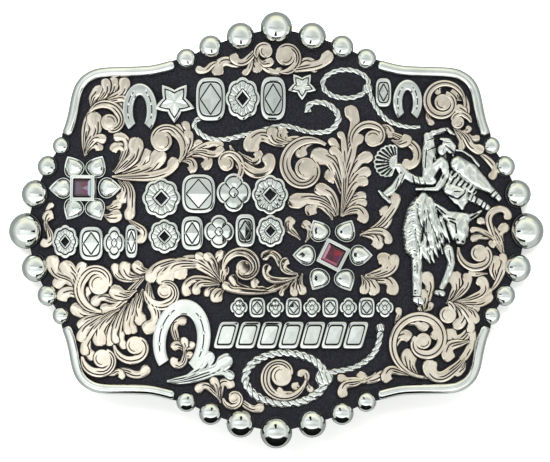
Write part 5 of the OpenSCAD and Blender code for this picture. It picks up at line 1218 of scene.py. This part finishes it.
# White tent, by direction: x to the right, y to the back, z up. Its top is a grey diffuser, brighter at the
# left. Its walls are brighter, warm at the back, and the front one is brightest. The band at the foot is
# grey, warm only right at the back. Below the horizon the paper is dim, less so in front.
top = graded(x_axis, -0.7, 0.2, (0.95, 0.98, 0.97, 1), (0.7, 0.73, 0.71, 1))
side = graded(x_axis, -0.4, 0.5, (0.98, 1.01, 1.01, 1), (0.95, 0.95, 0.88, 1))
back = graded(y_axis, 0.3, 0.75, side, (1.15, 1.14, 1.0, 1))
wall = graded(z_axis, 0.42, 0.86, back, top)
front = graded(y_axis, -0.62, -0.26, (1.6, 1.62, 1.6, 1), wall)
band = graded(y_axis, 0.7, 0.97, (0.64, 0.67, 0.67, 1), (1.1, 1.09, 0.78, 1))
foot = graded(z_axis, 0.08, 0.36, band, front)
hem = graded(y_axis, -0.75, -0.35, (0.62, 0.64, 0.63, 1), (0.36, 0.38, 0.37, 1))
tent = graded(z_axis, -0.3, 0.06, hem, foot)
add(sky, "OutputWorld", Surface=add(sky, "Background", Color=tent, Strength=1.0))


def card(name, points, faces, glow):
    """Card of the studio, seen in polished metal alone. Each point has its own glow, a grey from black to
    above white; black ones stand for the lens hood and for a flag."""
    material, tree = empty_material(name + "_glow")
    grey = add(tree, "Attribute", {"attribute_name": "glow"}).outputs["Fac"]
    light = add(tree, "Emission", Color=(0.97, 1.0, 0.985, 1), Strength=grey)
    add(tree, "OutputMaterial", Surface=light)
    piece = new_piece(name, points, faces, material, glow=glow)
    piece.visible_camera = piece.visible_diffuse = piece.visible_shadow = piece.visible_transmission = False


around = compass(np.arange(0, 360, 15))
barrel = np.stack([-3.8 + 6.8 * around.real, -3.3 + 6.9 * around.imag, 36 + 0 * around.real], 1)
card("lens_hood", np.concatenate([barrel, barrel + [0, 0, 34]]),
     [list(range(24))] + [[k, (k + 1) % 24, (k + 1) % 24 + 24, k + 24] for k in range(24)], 0.004)
card("front_flag", [(-45, -60, 2), (45, -60, 2), (45, -60, 38), (-45, -60, 38)], [[0, 1, 2, 3]], 0.004)
# Diffuser 130 mm up. A flat piece at x, y on the face sees it at 3.1 x, 1.06 y + 2, so its glow is given
# there. It is brighter over the lower half, most at the left, and over the silver rows at the left. The
# mottle stands for the slow unevenness of a face polished by hand.
x, y = [axis.ravel() for axis in np.meshgrid(np.linspace(-54, 54, 37), np.linspace(-46, 46, 25))]
low_left = ramp(8, -3, y) * (0.4 + 0.6 * ramp(10, -24, x))
low_left = np.maximum(low_left, 0.8 * ramp(-25, -33, x) * ramp(20, 12, y))
rows = ramp(-6.5, -4, y) * ramp(3.2, 1, y) * ramp(4, -6, x)
mottle = 0.13 * np.sin(3.1 * x / 9 + 0.9) * np.cos(1.06 * y / 7)
mottle += 0.05 * np.sin(3.1 * x / 21 - 1.06 * y / 12)
glow = 0.68 + 0.58 * low_left + 0.36 * rows + mottle
first = (np.arange(24)[:, None] * 37 + np.arange(36)).ravel()
squares = np.stack([first, first + 1, first + 38, first + 37], 1)
card("diffuser", np.stack([3.1 * x, 1.06 * y + 2, 130 + 0 * x], 1), squares.tolist(), glow)

lamp = bpy.data.lights.new("soft_box", "AREA")
lamp.shape, lamp.size, lamp.size_y, lamp.energy = "RECTANGLE", 0.6, 0.4, 9.0
box_light = bpy.data.objects.new("soft_box", lamp)
box_light.location = (-0.06, 0.3, 0.62)
box_light.rotation_euler = (math.radians(-26), math.radians(-5), 0)
box_light.visible_glossy = False
bpy.context.collection.objects.link(box_light)

camera = bpy.data.cameras.new("camera")
camera.lens, camera.sensor_width, camera.clip_start = 687.0, 36.0, 0.05
eye = bpy.data.objects.new("camera", camera)
elevation, distance = math.radians(89), 2.0
eye.location = (-0.00025, -0.00013 - distance * math.cos(elevation), 0.010 + distance * math.sin(elevation))
eye.rotation_euler = (math.pi / 2 - elevation, 0, 0)
bpy.context.collection.objects.link(eye)
bpy.context.scene.camera = eye
bpy.context.scene.view_settings.view_transform = "Standard"
